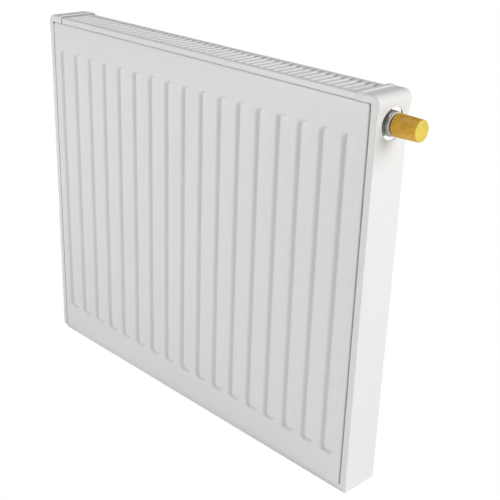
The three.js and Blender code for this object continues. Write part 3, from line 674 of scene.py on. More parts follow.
def make_pressed_sheet(name, node_name, facing, step, weld):
    """One pressed half of the panel; facing is -1 for the front and 1 for the rear."""
    s = sizes()
    low_corner, high_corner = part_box(node_name)
    edge_x, top = high_corner.x, high_corner.z
    half = SIDE_X - FIELD_SIDE
    low, high = FIELD_RISE, HEIGHT - FIELD_RISE
    inner = BORDER
    flutes = flute_middles()
    reach = s.flute_mouth / 2 + 0.2 * MM
    fine = step * MM
    spans, previous = [], -half + inner
    for middle in flutes:
        spans.append((previous, middle - reach, 2.5 * MM))
        spans.append((middle - reach, middle + reach, fine))
        previous = middle + reach
    spans.append((previous, half - inner, 2.5 * MM))
    columns = runs(*spans)
    span = (low + FLUTE_INSET, high - FLUTE_INSET)
    foot, head = span[0] - 6 * MM, span[1] + 6 * MM
    rows = runs(
        (low + inner, foot, 6 * MM),
        (foot, foot + 14 * MM, fine),
        (foot + 14 * MM, head - 14 * MM, 24 * MM),
        (head - 14 * MM, head, fine),
        (head, high - inner, 6 * MM),
    )
    seam = weld + facing * s.sheet
    relief = facing * s.relief
    stock = Stock()
    grid = [
        [(x, seam + relief * (1 - flute_depth(x, z, flutes, span)), z) for x in columns] for z in rows
    ]
    for lower, upper in zip(grid, grid[1:]):
        for i in range(len(columns) - 1):
            stock.face([lower[i], lower[i + 1], upper[i + 1], upper[i]])

    def ring(inside, y):
        """A loop round the field, its corners rounded outside and square inside."""
        radius = max(FIELD_CORNER - inside, 0.0)
        x, z0 = half - inside, low + inside
        z1 = high + (0.9 * MM - inside * 1.2) * max(0.0, 1 - inside / inner) - inside
        corners = [(x - radius, z0 + radius, 270), (x - radius, z1 - radius, 0),
                   (-x + radius, z1 - radius, 90), (-x + radius, z0 + radius, 180)]
        arcs = [
            [(u, y, v) for u, v in arc((cx, cz), radius, start, start + 90, 6)]
            for cx, cz, start in corners
        ]
        loop = [(c, y, z0) for c in columns] + arcs[0] + [(x, y, r) for r in rows] + arcs[1]
        loop += [(c, y, z1) for c in reversed(columns)] + arcs[2]
        return loop + [(-x, y, r) for r in reversed(rows)] + arcs[3]

    def border(inset, y):
        """The sheet's outer edge, matched point for point to a loop round the field."""
        x, z0, z1 = edge_x - inset, inset - RIM_DROP, top - inset
        loop = []
        for u, _, v in ring(0.0, y):
            across_x = min(max(u, -half + 3.001 * MM), half - 3.001 * MM) == u
            across_z = min(max(v, low + 3.001 * MM), high - 3.001 * MM) == v
            if across_x:
                loop.append((u, y, z0 if v < HEIGHT / 2 else z1))
            elif across_z:
                loop.append((x if u > 0 else -x, y, v))
            else:
                upper = v > HEIGHT / 2
                cu = (half - 3 * MM) * (1 if u > 0 else -1)
                cv = high - 3 * MM if upper else low + 3 * MM
                turn = math.atan2(abs(v - cv), abs(u - cu))
                far_u = x - (half - 3 * MM)
                far_v = z1 - high + 3 * MM if upper else low + 3 * MM - z0
                power = 1 / max(abs(math.cos(turn)), abs(math.sin(turn)))
                loop.append((cu + math.copysign(far_u * min(1, math.cos(turn) * power), u), y,
                             cv + math.copysign(far_v * min(1, math.sin(turn) * power), v - HEIGHT / 2)))
        return loop

    loops = [border(0.0, weld), border(0.0, seam - facing * 0.8 * MM),
             border(RIM_CHAMFER, seam)]
    loops += [ring(inside, seam + relief * share) for inside, share in rim_rings()]
    add_skin(stock, loops)
    stock.face(loops[0])
    piece = to_object(name, stock)
    smooth(piece, 50.0)
    return placed_on(piece, "root", ["white enamel"], [node_name])


class RADIATOR_OT_panel(bpy.types.Operator):
    """Press the front and rear sheets of the water panel."""

    bl_idname = "radiator.panel"
    bl_label = "Pressed panel"

    def execute(self, context):
        sheet = sizes().sheet
        front_weld = FRONT_BOX[1].y
        make_pressed_sheet("front_panel", "front_panel_sheet", -1, 0.68, front_weld)
        make_pressed_sheet("rear_panel", "rear_panel_sheet", 1, 1.1, REAR_BOX[0].y)
        if front_weld - FRONT_BOX[0].y <= sheet:
            raise ValueError("the front sheet has no relief")
        return {"FINISHED"}


class RADIATOR_OT_fins(bpy.types.Operator):
    """Fold the convector fins on the back of the panel."""

    bl_idname = "radiator.fins"
    bl_label = "Convector fins"

    def execute(self, context):
        low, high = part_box("convector_fins")
        thickness = 0.6 * MM
        pitch = sizes().flute_pitch
        foot, crown = low.y + thickness / 2, high.y - thickness / 2
        count = round((high.x - low.x) / pitch) + 1
        corners = []
        for i in range(count):
            channel = low.x + 5 * MM + i * pitch
            corners += [(channel - 5 * MM, foot), (channel + 5 * MM, foot)]
            if i == count - 1:
                break
            fold = channel + pitch / 2
            corners += [(fold - 6 * MM, crown), (fold + 6 * MM, crown)]
        outline = strip_outline(corners, thickness, 1.6 * MM, 5)
        stock = Stock()
        levels = runs((low.z, high.z, 100 * MM))
        add_strip_prism(stock, outline, lambda u, v, w: (u, v, w), levels[0], levels[-1])
        piece = to_object("fins", stock)
        smooth(piece, 40.0)
        placed_on(piece, "root", ["primer"], ["convector_fins"])
        return {"FINISHED"}


# ---------------------------------------------------------------- grille


class RADIATOR_OT_grille(bpy.types.Operator):
    """Punch the slotted top grille, with its turned-down edges."""

    bl_idname = "radiator.grille"
    bl_label = "Top grille"

    def execute(self, context):
        s = sizes()
        low, high = GRILLE_BOX
        top, bottom = high.z, low.z
        half = high.x
        slot_front, slot_rear = low.y + 4.5 * MM, high.y - 6 * MM
        louvre_front, louvre_rear = low.y + 8 * MM, high.y - 11 * MM
        edge, fold = 1.6 * MM, 1.5 * MM
        front = [(low.y, bottom)] + [
            (y, z) for y, z in arc((low.y + edge, top - edge), edge, 180, 90, 5)
        ] + [(slot_front, top)]
        rear = [(slot_rear, top)] + arc((high.y - edge, top - edge), edge, 90, 0, 5) + [
            (high.y, bottom)
        ]
        count = 2 * math.floor((half - s.slot_width / 2) / s.slot_pitch)
        slots = [
            ((i - (count - 1) / 2) * s.slot_pitch - s.slot_width / 2) for i in range(count)
        ]
        columns = [-half]
        for left in slots:
            columns += [left - fold, left, left + s.slot_width]
        columns.append(half)
        stock = Stock()

        def patch(x0, x1, one, two):
            stock.face([(x0, *one), (x1, *one), (x1, *two), (x0, *two)])

        for profile in (front, rear):
            for one, two in zip(profile, profile[1:]):
                for x0, x1 in zip(columns, columns[1:]):
                    patch(x0, x1, one, two)
        stations = [slot_front, louvre_front, louvre_rear, slot_rear]
        bar_start = -half
        for left in slots + [None]:
            flat_end = half if left is None else left - fold
            for y0, y1 in zip(stations, stations[1:]):
                patch(bar_start, flat_end, (y0, top), (y1, top))
            if left is None:
                break
            for y0, y1 in (stations[:2], stations[2:]):
                patch(left - fold, left, (y0, top), (y1, top))
            bend = arc((left - fold, top - fold), fold, 90, 0, 4) + [(left, top - s.louvre_drop)]
            for one, two in zip(bend, bend[1:]):
                stock.face([
                    (one[0], louvre_front, one[1]), (two[0], louvre_front, two[1]),
                    (two[0], louvre_rear, two[1]), (one[0], louvre_rear, one[1]),
                ])
            bar_start = left + s.slot_width
        piece = to_object("grille", stock, outward=False)
        thick = piece.modifiers.new("Sheet", "SOLIDIFY")
        thick.thickness = 1.0 * MM
        thick.offset = -1
        thick.use_even_offset = True
        settled(piece)
        smooth(piece, 40.0)
        softened(piece, 0.18 * MM, 1, 60.0)
        placed_on(piece, "root", ["white enamel on trim"], ["top_grille"])
        return {"FINISHED"}


# ---------------------------------------------------------------- end covers


CAP_STRIP = 31 * MM  # width of a cover's top
SKIRT = 7.7 * MM  # height of the cover's top, with its turned-down ends
STEP_BAND = 12 * MM  # how far under the top the side starts to step out
NOSE = 3.4 * MM  # rounding of the top's front and back


def cover_ring(outer, front, back, radius, reach, cap_reach):
    """Plan outline of a cover at one level, from its front inner end round to its rear one."""
    points = [(cap_reach, front), (reach[0], front)]
    points += arc((outer - radius, front + radius), radius, -90, 0, 8)
    points += arc((outer - radius, back - radius), radius, 0, 90, 8)
    points += [(reach[1], back), (cap_reach, back)]
    return points


def cover_levels(top, shoulder, nose):
    """(height, side step, end step, side inset, nose inset) of each level, from the bottom up."""
    lower = HEIGHT - STEP_BAND
    levels = [(2.0 * MM, 0.0, 0.0, 0.0, 0.0), (12.0 * MM, 0.0, 0.0, 0.0, 0.0),
              (240.0 * MM, 0.0, 0.0, 0.0, 0.0), (lower - 16 * MM, 0.0, 0.0, 0.0, 0.0)]
    for i in range(1, 15):
        z = lower - 16 * MM + 16 * MM * i / 12
        levels.append((z, rise(i / 14), rise((z - lower + 1.2 * MM) / (2.4 * MM)), 0.0, 0.0))
    levels.append((HEIGHT - SKIRT, 1.0, 1.0, 0.0, 0.0))
    for i in range(1, 13):
        angle = math.radians(90 * i / 12)
        z = top - shoulder + shoulder * math.sin(angle)
        side = shoulder * (1 - math.cos(angle))
        climb = min(max((z - (top - nose)) / nose, 0.0), 1.0)
        levels.append((z, 1.0, 1.0, side, nose * (1 - math.sqrt(1 - climb * climb))))
    return levels


def add_thick(stock, outer, inner, faces):
    """A sheet from two matching sets of points: both faces, and the strips along open edges."""
    used = {}
    for face in faces:
        stock.face([outer[i] for i in face])
        stock.face([inner[i] for i in face][::-1])
        for a, b in zip(face, face[1:] + face[:1]):
            key = (min(a, b), max(a, b))
            used[key] = None if key in used else (a, b)
    for edge in used.values():
        if edge:
            a, b = edge
            stock.face([outer[b], outer[a], inner[a], inner[b]])


def add_hem(stock, side, inner, front, back, top):
    """The rolled strip along a cover's inner edge, over the top and down both ends."""
    width, nose = 7.5 * MM, NOSE
    path = [(front, top - 8 * MM, -1.0, 0.0, 0.35), (front, top - nose, -1.0, 0.0, 0.7)]
    for y, z in arc((front + nose, top - nose), nose, 170, 100, 6):
        path.append((y, z, (y - front - nose) / nose, (z - top + nose) / nose, 1.0))
    path += [(y, top, 0.0, 1.0, 1.5) for y in (front + nose + 2 * MM, back - nose - 2 * MM)]
    for y, z in arc((back - nose, top - nose), nose, 80, 10, 6):
        path.append((y, z, (y - back + nose) / nose, (z - top + nose) / nose, 1.0))
    path += [(back, top - nose, 1.0, 0.0, 0.7), (back, top - 8 * MM, 1.0, 0.0, 0.35)]
    steps = 10
    rings = []
    for y, z, ny, nz, lift in path:
        ring = []
        for i in range(steps + 1):
            angle = math.pi * i / steps
            x = inner + width / 2 - width / 2 * math.cos(angle)
            up = lift * MM * math.sin(angle) ** 0.6 if 0 < i < steps else 0.0
            ring.append((side * x, y + ny * up, z + nz * up))
        for x in (inner + width, inner):
            ring.append((side * x, y - ny * 0.6 * MM, z - nz * 0.6 * MM))
        rings.append(ring)
    add_skin(stock, rings)
    stock.face(rings[0])
    stock.face(rings[-1][::-1])


def cut_away(piece, stock):
    """Takes a solid out of a piece."""
    cutter = to_object(piece.name + "_cutter", stock)
    cut = piece.modifiers.new("Cut", "BOOLEAN")
    cut.operation = "DIFFERENCE"
    cut.object = cutter
    cut.solver = "EXACT"
    settled(piece)
    bpy.data.objects.remove(cutter)


def make_cover(name, node_name, side, hole_radius):
    s = sizes()
    sheet = 1.0 * MM
    step_x, step_front, step_back = 2.0 * MM, 0.5 * MM, 2.5 * MM
    front, back = COVER_BOX[0].y + step_front, COVER_BOX[1].y - step_back
    top, nose = HEIGHT + 1.5 * MM, NOSE
    inner = SIDE_X + step_x - CAP_STRIP
    reach = (SIDE_X - 8.2 * MM, SIDE_X - 10 * MM)
    skirt = HEIGHT - SKIRT
    layers, heights = [], []
    for inset in (0.0, sheet):
        points = []
        for z, step, ends, shoulder, nosed in cover_levels(top - inset, s.shoulder - inset, nose - inset):
            outline = cover_ring(
                SIDE_X - inset + step * step_x - shoulder,
                front + inset - ends * step_front + nosed,
                back - inset + ends * step_back - nosed,
                max(s.fold - inset + ends * 2.6 * MM - nosed * 0.6, 0.5 * MM),
                reach,
                inner,
            )
            points += [(side * x, y, z) for x, y in outline]
            heights.append(z)
        layers.append(points)
    wide = len(cover_ring(1, 0, 1, 0.1, reach, inner))
    tall = len(layers[0]) // wide
    faces = []
    for r in range(tall - 1):
        for i in range(wide - 1):
            if i in (0, wide - 2) and heights[r] < skirt - 0.01 * MM:
                continue
            corner = r * wide + i
            faces.append([corner, corner + 1, corner + wide + 1, corner + wide])
    faces.append([(tall - 1) * wide + i for i in range(wide)])
    shell = Stock()
    add_thick(shell, layers[0], layers[1], faces)
    piece = to_object(name, shell)
    hole = Stock()
    add_turned(
        hole,
        [(0, SIDE_X - 8 * MM), (hole_radius, SIDE_X - 8 * MM), (hole_radius, SIDE_X + 8 * MM),
         (0, SIDE_X + 8 * MM)],
        across(side, VALVE_Z),
        96,
    )
    cut_away(piece, hole)
    toe, foot = 7 * MM, 2.0 * MM
    corner = Stock()
    outline = [(front - 3 * MM, foot - 3 * MM)]
    outline += [(y, z) for y, z in arc((front + toe, foot + toe), toe, 270, 180, 10)]
    outline.insert(1, (front + toe, foot - 3 * MM))
    outline.append((front - 3 * MM, foot + toe))
    add_prism(corner, outline, lambda u, v, w: (side * w, u, v), SIDE_X - 15 * MM, SIDE_X + 5 * MM)
    cut_away(piece, corner)
    hem = Stock()
    add_hem(hem, side, inner, front - step_front, back + step_back, top)
    strip = to_object(name + "_hem", hem)
    joined = bmesh.new()
    joined.from_mesh(piece.data)
    joined.from_mesh(strip.data)
    joined.to_mesh(piece.data)
    joined.free()
    bpy.data.objects.remove(strip)
    smooth(piece, 38.0)
    softened(piece, 0.3 * MM, 2, 60.0)
    placed_on(piece, "root", ["white enamel on trim"], [node_name])


class RADIATOR_OT_covers(bpy.types.Operator):
    """Fold both end covers, each with its stepped top, rolled hem and round hole."""

    bl_idname = "radiator.covers"
    bl_label = "End covers"

    def execute(self, context):
        make_cover("cover_right", "right_end_cover", 1, 18.5 * MM)
        make_cover("cover_left", "left_end_cover", -1, 11.0 * MM)
        return {"FINISHED"}


# ---------------------------------------------------------------- clips and lugs


def make_clip(name, node_name, upright_seam):
    """A channel of spring strip, pushed over the seam."""
    low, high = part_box(node_name)
    thick = 0.8 * MM
    near, far = low.y + thick / 2, high.y - thick / 2
    stock = Stock()
    if upright_seam:
        side = 1 if low.x + high.x > 0 else -1
        tip, web = (low.x, high.x - thick / 2) if side > 0 else (high.x, low.x + thick / 2)
        line = [(tip, near - 0.5 * MM), (tip + side * 1.6 * MM, near + 0.1 * MM), (web, near), (web, far),
                (tip + side * 1.6 * MM, far - 0.1 * MM), (tip, far + 0.5 * MM)]
        outline = strip_outline(line, thick, 0.8 * MM)
        add_strip_prism(stock, outline, lambda u, v, w: (u, v, w), low.z, high.z)
    else:
        tip, web = low.z, high.z - thick / 2
        line = [(near - 0.5 * MM, tip), (near + 0.1 * MM, tip + 1.6 * MM), (near, web), (far, web),
                (far - 0.1 * MM, tip + 1.6 * MM), (far + 0.5 * MM, tip)]
        outline = strip_outline(line, thick, 0.8 * MM)
        add_strip_prism(stock, outline, lambda u, v, w: (w, u, v), low.x, high.x)
    piece = to_object(name, stock)
    smooth(piece, 40.0)
    softened(piece, 0.12 * MM)
    placed_on(piece, "root", ["spring strip"], [node_name])


def make_lug(name, node_name):
    """A wall lug bent from strip: welded foot, shelf, and lip against the wall."""
    low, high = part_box(node_name)
    thick = 2 * MM
    upper = high.z > HEIGHT / 2
    shelf = high.z - thick / 2 if upper else low.z + thick / 2
    foot_end = low.z if upper else high.z
    lip_end = foot_end + (4 * MM if upper else -4 * MM)
    line = [(low.y + thick / 2, foot_end), (low.y + thick / 2, shelf), (high.y - thick / 2, shelf),
            (high.y - thick / 2, lip_end)]
    stock = Stock()
    add_strip_prism(stock, strip_outline(line, thick, 2.2 * MM, 6), lambda u, v, w: (w, u, v), low.x, high.x)
    piece = to_object(name, stock)
    smooth(piece, 40.0)
    softened(piece, 0.35 * MM)
    placed_on(piece, "root", ["white enamel on trim"], [node_name])


class RADIATOR_OT_clips(bpy.types.Operator):
    """Bend the spring clips and the wall lugs."""

    bl_idname = "radiator.clips"
    bl_label = "Clips and wall lugs"

    def execute(self, context):
        for node_name in sorted(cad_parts):
            if node_name.startswith("cover_clip"):
                make_clip(node_name.replace("cover_clip", "clip"), node_name, True)
            elif node_name.startswith("grille_clip"):
                make_clip(node_name.replace("grille_clip", "clip_top"), node_name, False)
            elif node_name.startswith("wall_lug"):
                make_lug(node_name.replace("wall_lug", "lug"), node_name)
        return {"FINISHED"}


# ---------------------------------------------------------------- connections and plugs


def make_connection(name, node_name, side):
    """A threaded barrel on a short neck, brazed to the rear sheet."""
    low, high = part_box(node_name)
    z = VALVE_Z if high.z > HEIGHT / 2 else HEIGHT - VALVE_Z
    inner, outer = sorted((abs(low.x), abs(high.x)))
    bore, wall = 10.5 * MM, 15 * MM
    stock = Stock()
    ridges = []
    along = outer - 1.2 * MM
    while along > inner + 9 * MM:
        ridges += [(bore, along), (bore + 0.55 * MM, along - 0.9 * MM)]
        along -= 1.8 * MM
    profile = [(0, inner), (wall - 1.5 * MM, inner), (wall, inner + 1.5 * MM), (wall, outer - 0.6 * MM),
               (wall - 0.6 * MM, outer), (bore + 1.0 * MM, outer)]
    profile += ridges + [(bore, inner + 5 * MM), (0, inner + 4.5 * MM)]
    add_turned(stock, profile, across(side, z), 64)
    middle = side * (inner + outer) / 2
    radius = 9 * MM
    neck = [(radius + 1.6 * MM, low.y), (radius + 0.5 * MM, low.y + 0.5 * MM), (radius, low.y + 1.6 * MM),
            (radius, AXIS_Y - wall + 4.6 * MM), (0, AXIS_Y - wall + 4.6 * MM)]
    add_turned(stock, [(0, low.y)] + neck, backward(middle, z), 48)
    piece = to_object(name, stock)
    smooth(piece, 35.0)
    placed_on(piece, "root", ["white enamel on trim"], [node_name])


def make_plug(name, node_name, side, hollow_key, nose=False):
    """A hexagon plug in a connection: shank, flange and chamfered head."""
    low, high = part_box(node_name)
    z = VALVE_Z if high.z > HEIGHT / 2 else HEIGHT - VALVE_Z
    inner, outer = sorted((abs(low.x), abs(high.x)))
    shank_end = inner + 12 * MM
    head = shank_end + 5 * MM
    stock = Stock()
    bore = 10.2 * MM
    add_turned(
        stock,
        [(0, inner), (bore - 0.8 * MM, inner), (bore, inner + 0.8 * MM), (bore, shank_end - 3.2 * MM),
         (bore - 1.6 * MM, shank_end - 3.2 * MM), (bore - 1.6 * MM, shank_end - 0.9 * MM),
         (bore, shank_end - 0.9 * MM), (bore, shank_end), (0, shank_end)],
        across(side, z),
        64,
    )
    if hollow_key:
        outline = hexagon(22 * MM)
        socket = hexagon(10 * MM)
        place = across(side, z)
        for i in range(6):
            j = (i + 1) % 6
            a, b, c, d = outline[i], outline[j], socket[j], socket[i]
            stock.face([place(shank_end, *a), place(shank_end, *b), place(head, *b), place(head, *a)])
            stock.face([place(head, *a), place(head, *b), place(head, *c), place(head, *d)])
            stock.face([place(head, *d), place(head, *c), place(shank_end + 0.6 * MM, *c),
                        place(shank_end + 0.6 * MM, *d)])
        stock.face([place(shank_end, *corner) for corner in outline])
        stock.face([place(shank_end + 0.6 * MM, *corner) for corner in socket])
    else:
        add_hexagon(stock, 22 * MM, side, shank_end, head, z)
    if nose:
        add_turned(
            stock,
            [(0, head - 0.5 * MM), (5.5 * MM, head - 0.5 * MM), (5.5 * MM, outer - 0.5 * MM),
             (5.0 * MM, outer), (2.6 * MM, outer), (2.6 * MM, head), (0, head)],
            across(side, z),
            48,
        )
    piece = to_object(name, stock)
    smooth(piece, 35.0)
    softened(piece, 0.3 * MM, 2, 45.0)
    placed_on(piece, "root", ["satin nickel"], [node_name])


class RADIATOR_OT_connections(bpy.types.Operator):
    """Turn the connections, plugs and the air vent."""

    bl_idname = "radiator.connections"
    bl_label = "Connections and vent"

    def execute(self, context):
        make_connection("connection_top_left", "connection_upper_left", -1)
        make_connection("connection_bottom_left", "connection_lower_left", -1)
        make_connection("connection_bottom_right", "connection_lower_right", 1)
        make_plug("plug_left", "blind_plug_lower_left", -1, True)
        make_plug("plug_right", "blind_plug_lower_right", 1, True)
        make_plug("vent_body", "vent_plug", -1, False, nose=True)
        low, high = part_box("vent_screw")
        stock = Stock()
        place = across(-1, VALVE_Z)
        inner, outer = -high.x, -low.x
        head = outer - 4.7 * MM
        add_turned(stock, [(0, inner), (2.2 * MM, inner), (2.2 * MM, head), (0, head)], place, 32)
        square = [(2.5 * MM, 2.5 * MM), (-2.5 * MM, 2.5 * MM), (-2.5 * MM, -2.5 * MM), (2.5 * MM, -2.5 * MM)]
        add_prism(stock, square, lambda a, b, along: place(along, a, b), head, outer - 0.1 * MM)
        piece = to_object("vent_key", stock)
        smooth(piece)
        softened(piece, 0.3 * MM)
        placed_on(piece, "vent_screw", ["turned brass"], ["vent_screw"])
        low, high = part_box("vent_spout")
        stock = Stock()
        inner, outer = -high.x, -low.x
        add_turned(
            stock,
            [(5.8 * MM, inner), (7.6 * MM, inner), (8.1 * MM, inner + 0.5 * MM),
             (8.1 * MM, outer - 0.5 * MM), (7.6 * MM, outer), (5.8 * MM, outer)],
            place,
            64,
            closed=True,
        )
        middle_x = (low.x + high.x) / 2
        tip = low.z
        add_turned(
            stock,
            [(0.7 * MM, tip), (1.2 * MM, tip), (1.4 * MM, tip + 0.3 * MM), (1.5 * MM, VALVE_Z - 7 * MM),
             (0, VALVE_Z - 7 * MM), (0, tip + 2 * MM), (0.7 * MM, tip + 2 * MM)],
            upright(middle_x, AXIS_Y),
            32,
            closed=True,
        )
        piece = to_object("vent_nozzle", stock)
        smooth(piece, 40.0)
        placed_on(piece, "vent_spout", ["ring plastic"], ["vent_spout"])
        return {"FINISHED"}


# ---------------------------------------------------------------- built-in valve


def make_housing():
    low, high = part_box("valve_housing")
    inner, outer = low.x, high.x
    stock = Stock()
    wall, rim, bore = 15.5 * MM, 17 * MM, 10.8 * MM
    add_turned(
        stock,
        [(0, inner), (wall - 2 * MM, inner), (wall, inner + 2 * MM), (wall, outer - 5.4 * MM),
         (rim - 0.6 * MM, outer - 4 * MM), (rim, outer - 3.2 * MM), (rim, outer - 0.7 * MM),
         (rim - 0.7 * MM, outer), (bore + 1 * MM, outer), (bore, outer - 1 * MM), (bore, outer - 20 * MM),
         (0, outer - 20 * MM)],
        across(1, VALVE_Z),
        96,
    )
    neck_x = SIDE_X - 29 * MM
    add_turned(
        stock,
        [(0, low.y), (11 * MM, low.y), (9.5 * MM, low.y + 0.6 * MM), (9 * MM, low.y + 1.8 * MM),
         (9 * MM, AXIS_Y - 11 * MM), (0, AXIS_Y - 11 * MM)],
        backward(neck_x, VALVE_Z),
        48,
    )
    pipe_x = SIDE_X - 52 * MM
    add_turned(
        stock,
        [(7.4 * MM, low.z), (9.0 * MM, low.z), (9.5 * MM, low.z + 0.6 * MM), (9.5 * MM, VALVE_Z - 11 * MM),
         (7.4 * MM, VALVE_Z - 11 * MM)],
        upright(pipe_x, AXIS_Y),
        48,
        closed=True,
    )
    piece = to_object("valve_body", stock)
    smooth(piece, 35.0)
    placed_on(piece, "root", ["zinc-plated steel"], ["valve_housing"])


def make_insert():
    low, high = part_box("valve_insert")
    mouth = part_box("valve_housing")[1].x
    collar = mouth + 8 * MM
    face = SIDE_X + 2.5 * MM
    end = high.x
    stock = Stock()
    thread = []
    along = face + 2.6 * MM
    while along < end - 1.6 * MM:
        thread += [(10.7 * MM, along), (11.2 * MM, along + 0.7 * MM)]
        along += 1.5 * MM
    add_turned(
        stock,
        [(0, low.x), (10.4 * MM, low.x), (10.4 * MM, collar - 1 * MM), (13.2 * MM, collar - 0.6 * MM),
         (14.3 * MM, collar + 0.4 * MM), (14.3 * MM, collar + 1.6 * MM), (13.9 * MM, collar + 1.9 * MM),
         (14.3 * MM, collar + 2.2 * MM), (14.3 * MM, face - 0.7 * MM), (13.6 * MM, face), (11.2 * MM, face)]
        + thread
        + [(10.4 * MM, end - 0.6 * MM), (9.8 * MM, end), (6.5 * MM, end), (6.5 * MM, end - 2 * MM),
           (0, end - 2 * MM)],
        across(1, VALVE_Z),
        96,
    )
    add_hexagon(stock, 24.5 * MM, 1, mouth + 0.3 * MM, collar - 1 * MM, VALVE_Z)
    piece = to_object("valve_core", stock)
    smooth(piece, 35.0)
    softened(piece, 0.25 * MM, 2, 50.0)
    placed_on(piece, "root", ["satin nickel"], ["valve_insert"])


def make_setting_ring():
    """The setting ring: a thin moulded band with short marks cut round its edge."""
    low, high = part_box("preset_ring")
    stock = Stock()
    outer, inner = (high.z - low.z) / 2, 11.6 * MM
    facets = 144
    rings = []
    for radius, along, notched in (
        (inner, low.x, 0), (outer - 0.35 * MM, low.x, 0), (outer, low.x + 0.35 * MM, 1),
        (outer, high.x - 0.4 * MM, 1), (outer - 0.5 * MM, high.x, 1), (inner, high.x, 0),
    ):
        ring = []
        for i in range(facets):
            cut = 0.28 * MM if notched and i % 12 in (0, 1) else 0.0
            angle = 2 * math.pi * i / facets
            reach = radius - cut
            ring.append(across(1, VALVE_Z)(along, reach * math.cos(angle), reach * math.sin(angle)))
        rings.append(ring)
    add_skin(stock, rings, closed=True)
    piece = to_object("setting_ring", stock)
    smooth(piece, 35.0)
    placed_on(piece, "preset_ring", ["ring plastic"], ["preset_ring"])


def make_cap():
    """The protective cap: tapered, ribbed side, rounded edge and a shallow dished end."""
    s = sizes()
    low, high = CAP_BOX
    base_radius, tip_radius = (high.z - low.z) / 2, (high.z - low.z) / 2 - 0.9 * MM
    length = high.x - low.x
    edge = 1.3 * MM
    profile = [(11.6 * MM, 0.0, 0.0), (base_radius - 0.3 * MM, 0.0, 0.0), (base_radius, 0.3 * MM, 0.0),
               (base_radius - 0.05 * MM, 1.5 * MM, 0.0), (base_radius - 0.06 * MM, 2.1 * MM, 1.0)]
    side_steps = 6
    for i in range(1, side_steps + 1):
        t = i / side_steps
        along = 2.1 * MM + (length - edge - 1.4 * MM - 2.1 * MM) * t
        radius = base_radius + (tip_radius - base_radius) * along / length
        profile.append((radius, along, 1.0))
    profile.append((tip_radius + 0.02 * MM, length - edge - 0.6 * MM, 0.25))
    for i in range(0, 7):
        angle = math.radians(90 * i / 6)
        reach, along = edge * math.cos(angle), edge * math.sin(angle)
        profile.append((tip_radius - edge + reach, length - edge + along, 0.0))
    rim_count = len(profile)
    profile += [(tip_radius - edge - 1.0 * MM, length, 0.0),
                (tip_radius - edge - 1.6 * MM, length - 0.25 * MM, 0.0),
                (4.0 * MM, length - 0.32 * MM, 0.0), (1.2 * MM, length - 0.32 * MM, 0.0),
                (0.8 * MM, length - 0.22 * MM, 0.0), (0.0, length - 0.2 * MM, 0.0)]
    wave = (0.0, 0.35, 0.85, 1.0, 0.85, 0.35)  # one rib, from groove to crest and back
    facets = s.rib_count * len(wave)
    place = across(1, VALVE_Z)
    stock = Stock()
    rings = []
    for radius, along, ribbed in profile:
        ring = []
        for i in range(facets):
            angle = 2 * math.pi * i / facets
            reach = max(radius - ribbed * s.rib_depth * (1 - wave[i % len(wave)]), 0.0)
            ring.append(place(low.x + along, reach * math.cos(angle), reach * math.sin(angle)))
        rings.append(ring)
    add_skin(stock, rings, kinds=[int(step >= rim_count - 4) for step in range(len(rings))])
    inside = [(11.6 * MM, 0.0), (11.6 * MM, 12 * MM), (0.0, 12 * MM)]
    add_skin(stock, [circle(place, low.x + along, radius, facets) for radius, along in inside])
    piece = to_object("cap", stock)
    smooth(piece, 50.0)
    # The second slot, on the end face, takes a lighter, yellower copy of the cap colour: painted light.
    finishes = ["cap plastic", "cap end plastic, painted light"]
    placed_on(piece, "protective_cap", finishes, ["protective_cap"])


class RADIATOR_OT_valve(bpy.types.Operator):
    """Turn the built-in valve, its setting ring and the protective cap."""

    bl_idname = "radiator.valve"
    bl_label = "Built-in valve"

    def execute(self, context):
        make_housing()
        make_insert()
        make_setting_ring()
        make_cap()
        return {"FINISHED"}


# ---------------------------------------------------------------- pipe and nipples


def make_pipe():
    """The supply pipe: straight down from the valve, then a gentle offset to its nipple."""
    low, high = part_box("supply_pipe")
    radius, wall = 7 * MM, 1.2 * MM
    top_x, low_x = high.x - radius, low.x + radius
    if top_x < low_x:
        raise ValueError("the supply pipe has no offset")
    bend, drop = 80 * MM, 70 * MM  # where the offset starts, and how far up it takes
    start, end = bend - 2 * MM, bend + drop + 2 * MM
    heights = runs((low.z, start, 10 * MM), (start, end, 3 * MM), (end, high.z, 60 * MM))
    facets = 40
    rings = []
    for reach in (radius, radius - wall):
        layer = []
        for z in heights:
            share = (z - bend) / drop
            slope = 6 * share * (1 - share) if 0 < share < 1 else 0.0
            tilt = math.atan(slope * (top_x - low_x) / drop)
            x = low_x + (top_x - low_x) * rise(share)
            layer.append([
                (x + reach * math.cos(2 * math.pi * i / facets) * math.cos(tilt),
                 AXIS_Y + reach * math.sin(2 * math.pi * i / facets),
                 z - reach * math.cos(2 * math.pi * i / facets) * math.sin(tilt))
                for i in range(facets)
            ])
        rings.append(layer)
    stock = Stock()
    add_skin(stock, rings[0] + rings[1][::-1], closed=True)
    piece = to_object("pipe", stock)
    smooth(piece, 40.0)
    placed_on(piece, "root", ["white enamel on trim"], ["supply_pipe"])


def threads(radius, low, high, pitch=1.81 * MM, depth=0.9 * MM):
    points = []
    z = low
    while z < high:
        points += [(radius - depth, z), (radius, z + pitch * 0.4), (radius, z + pitch * 0.6)]
        z += pitch
    return points


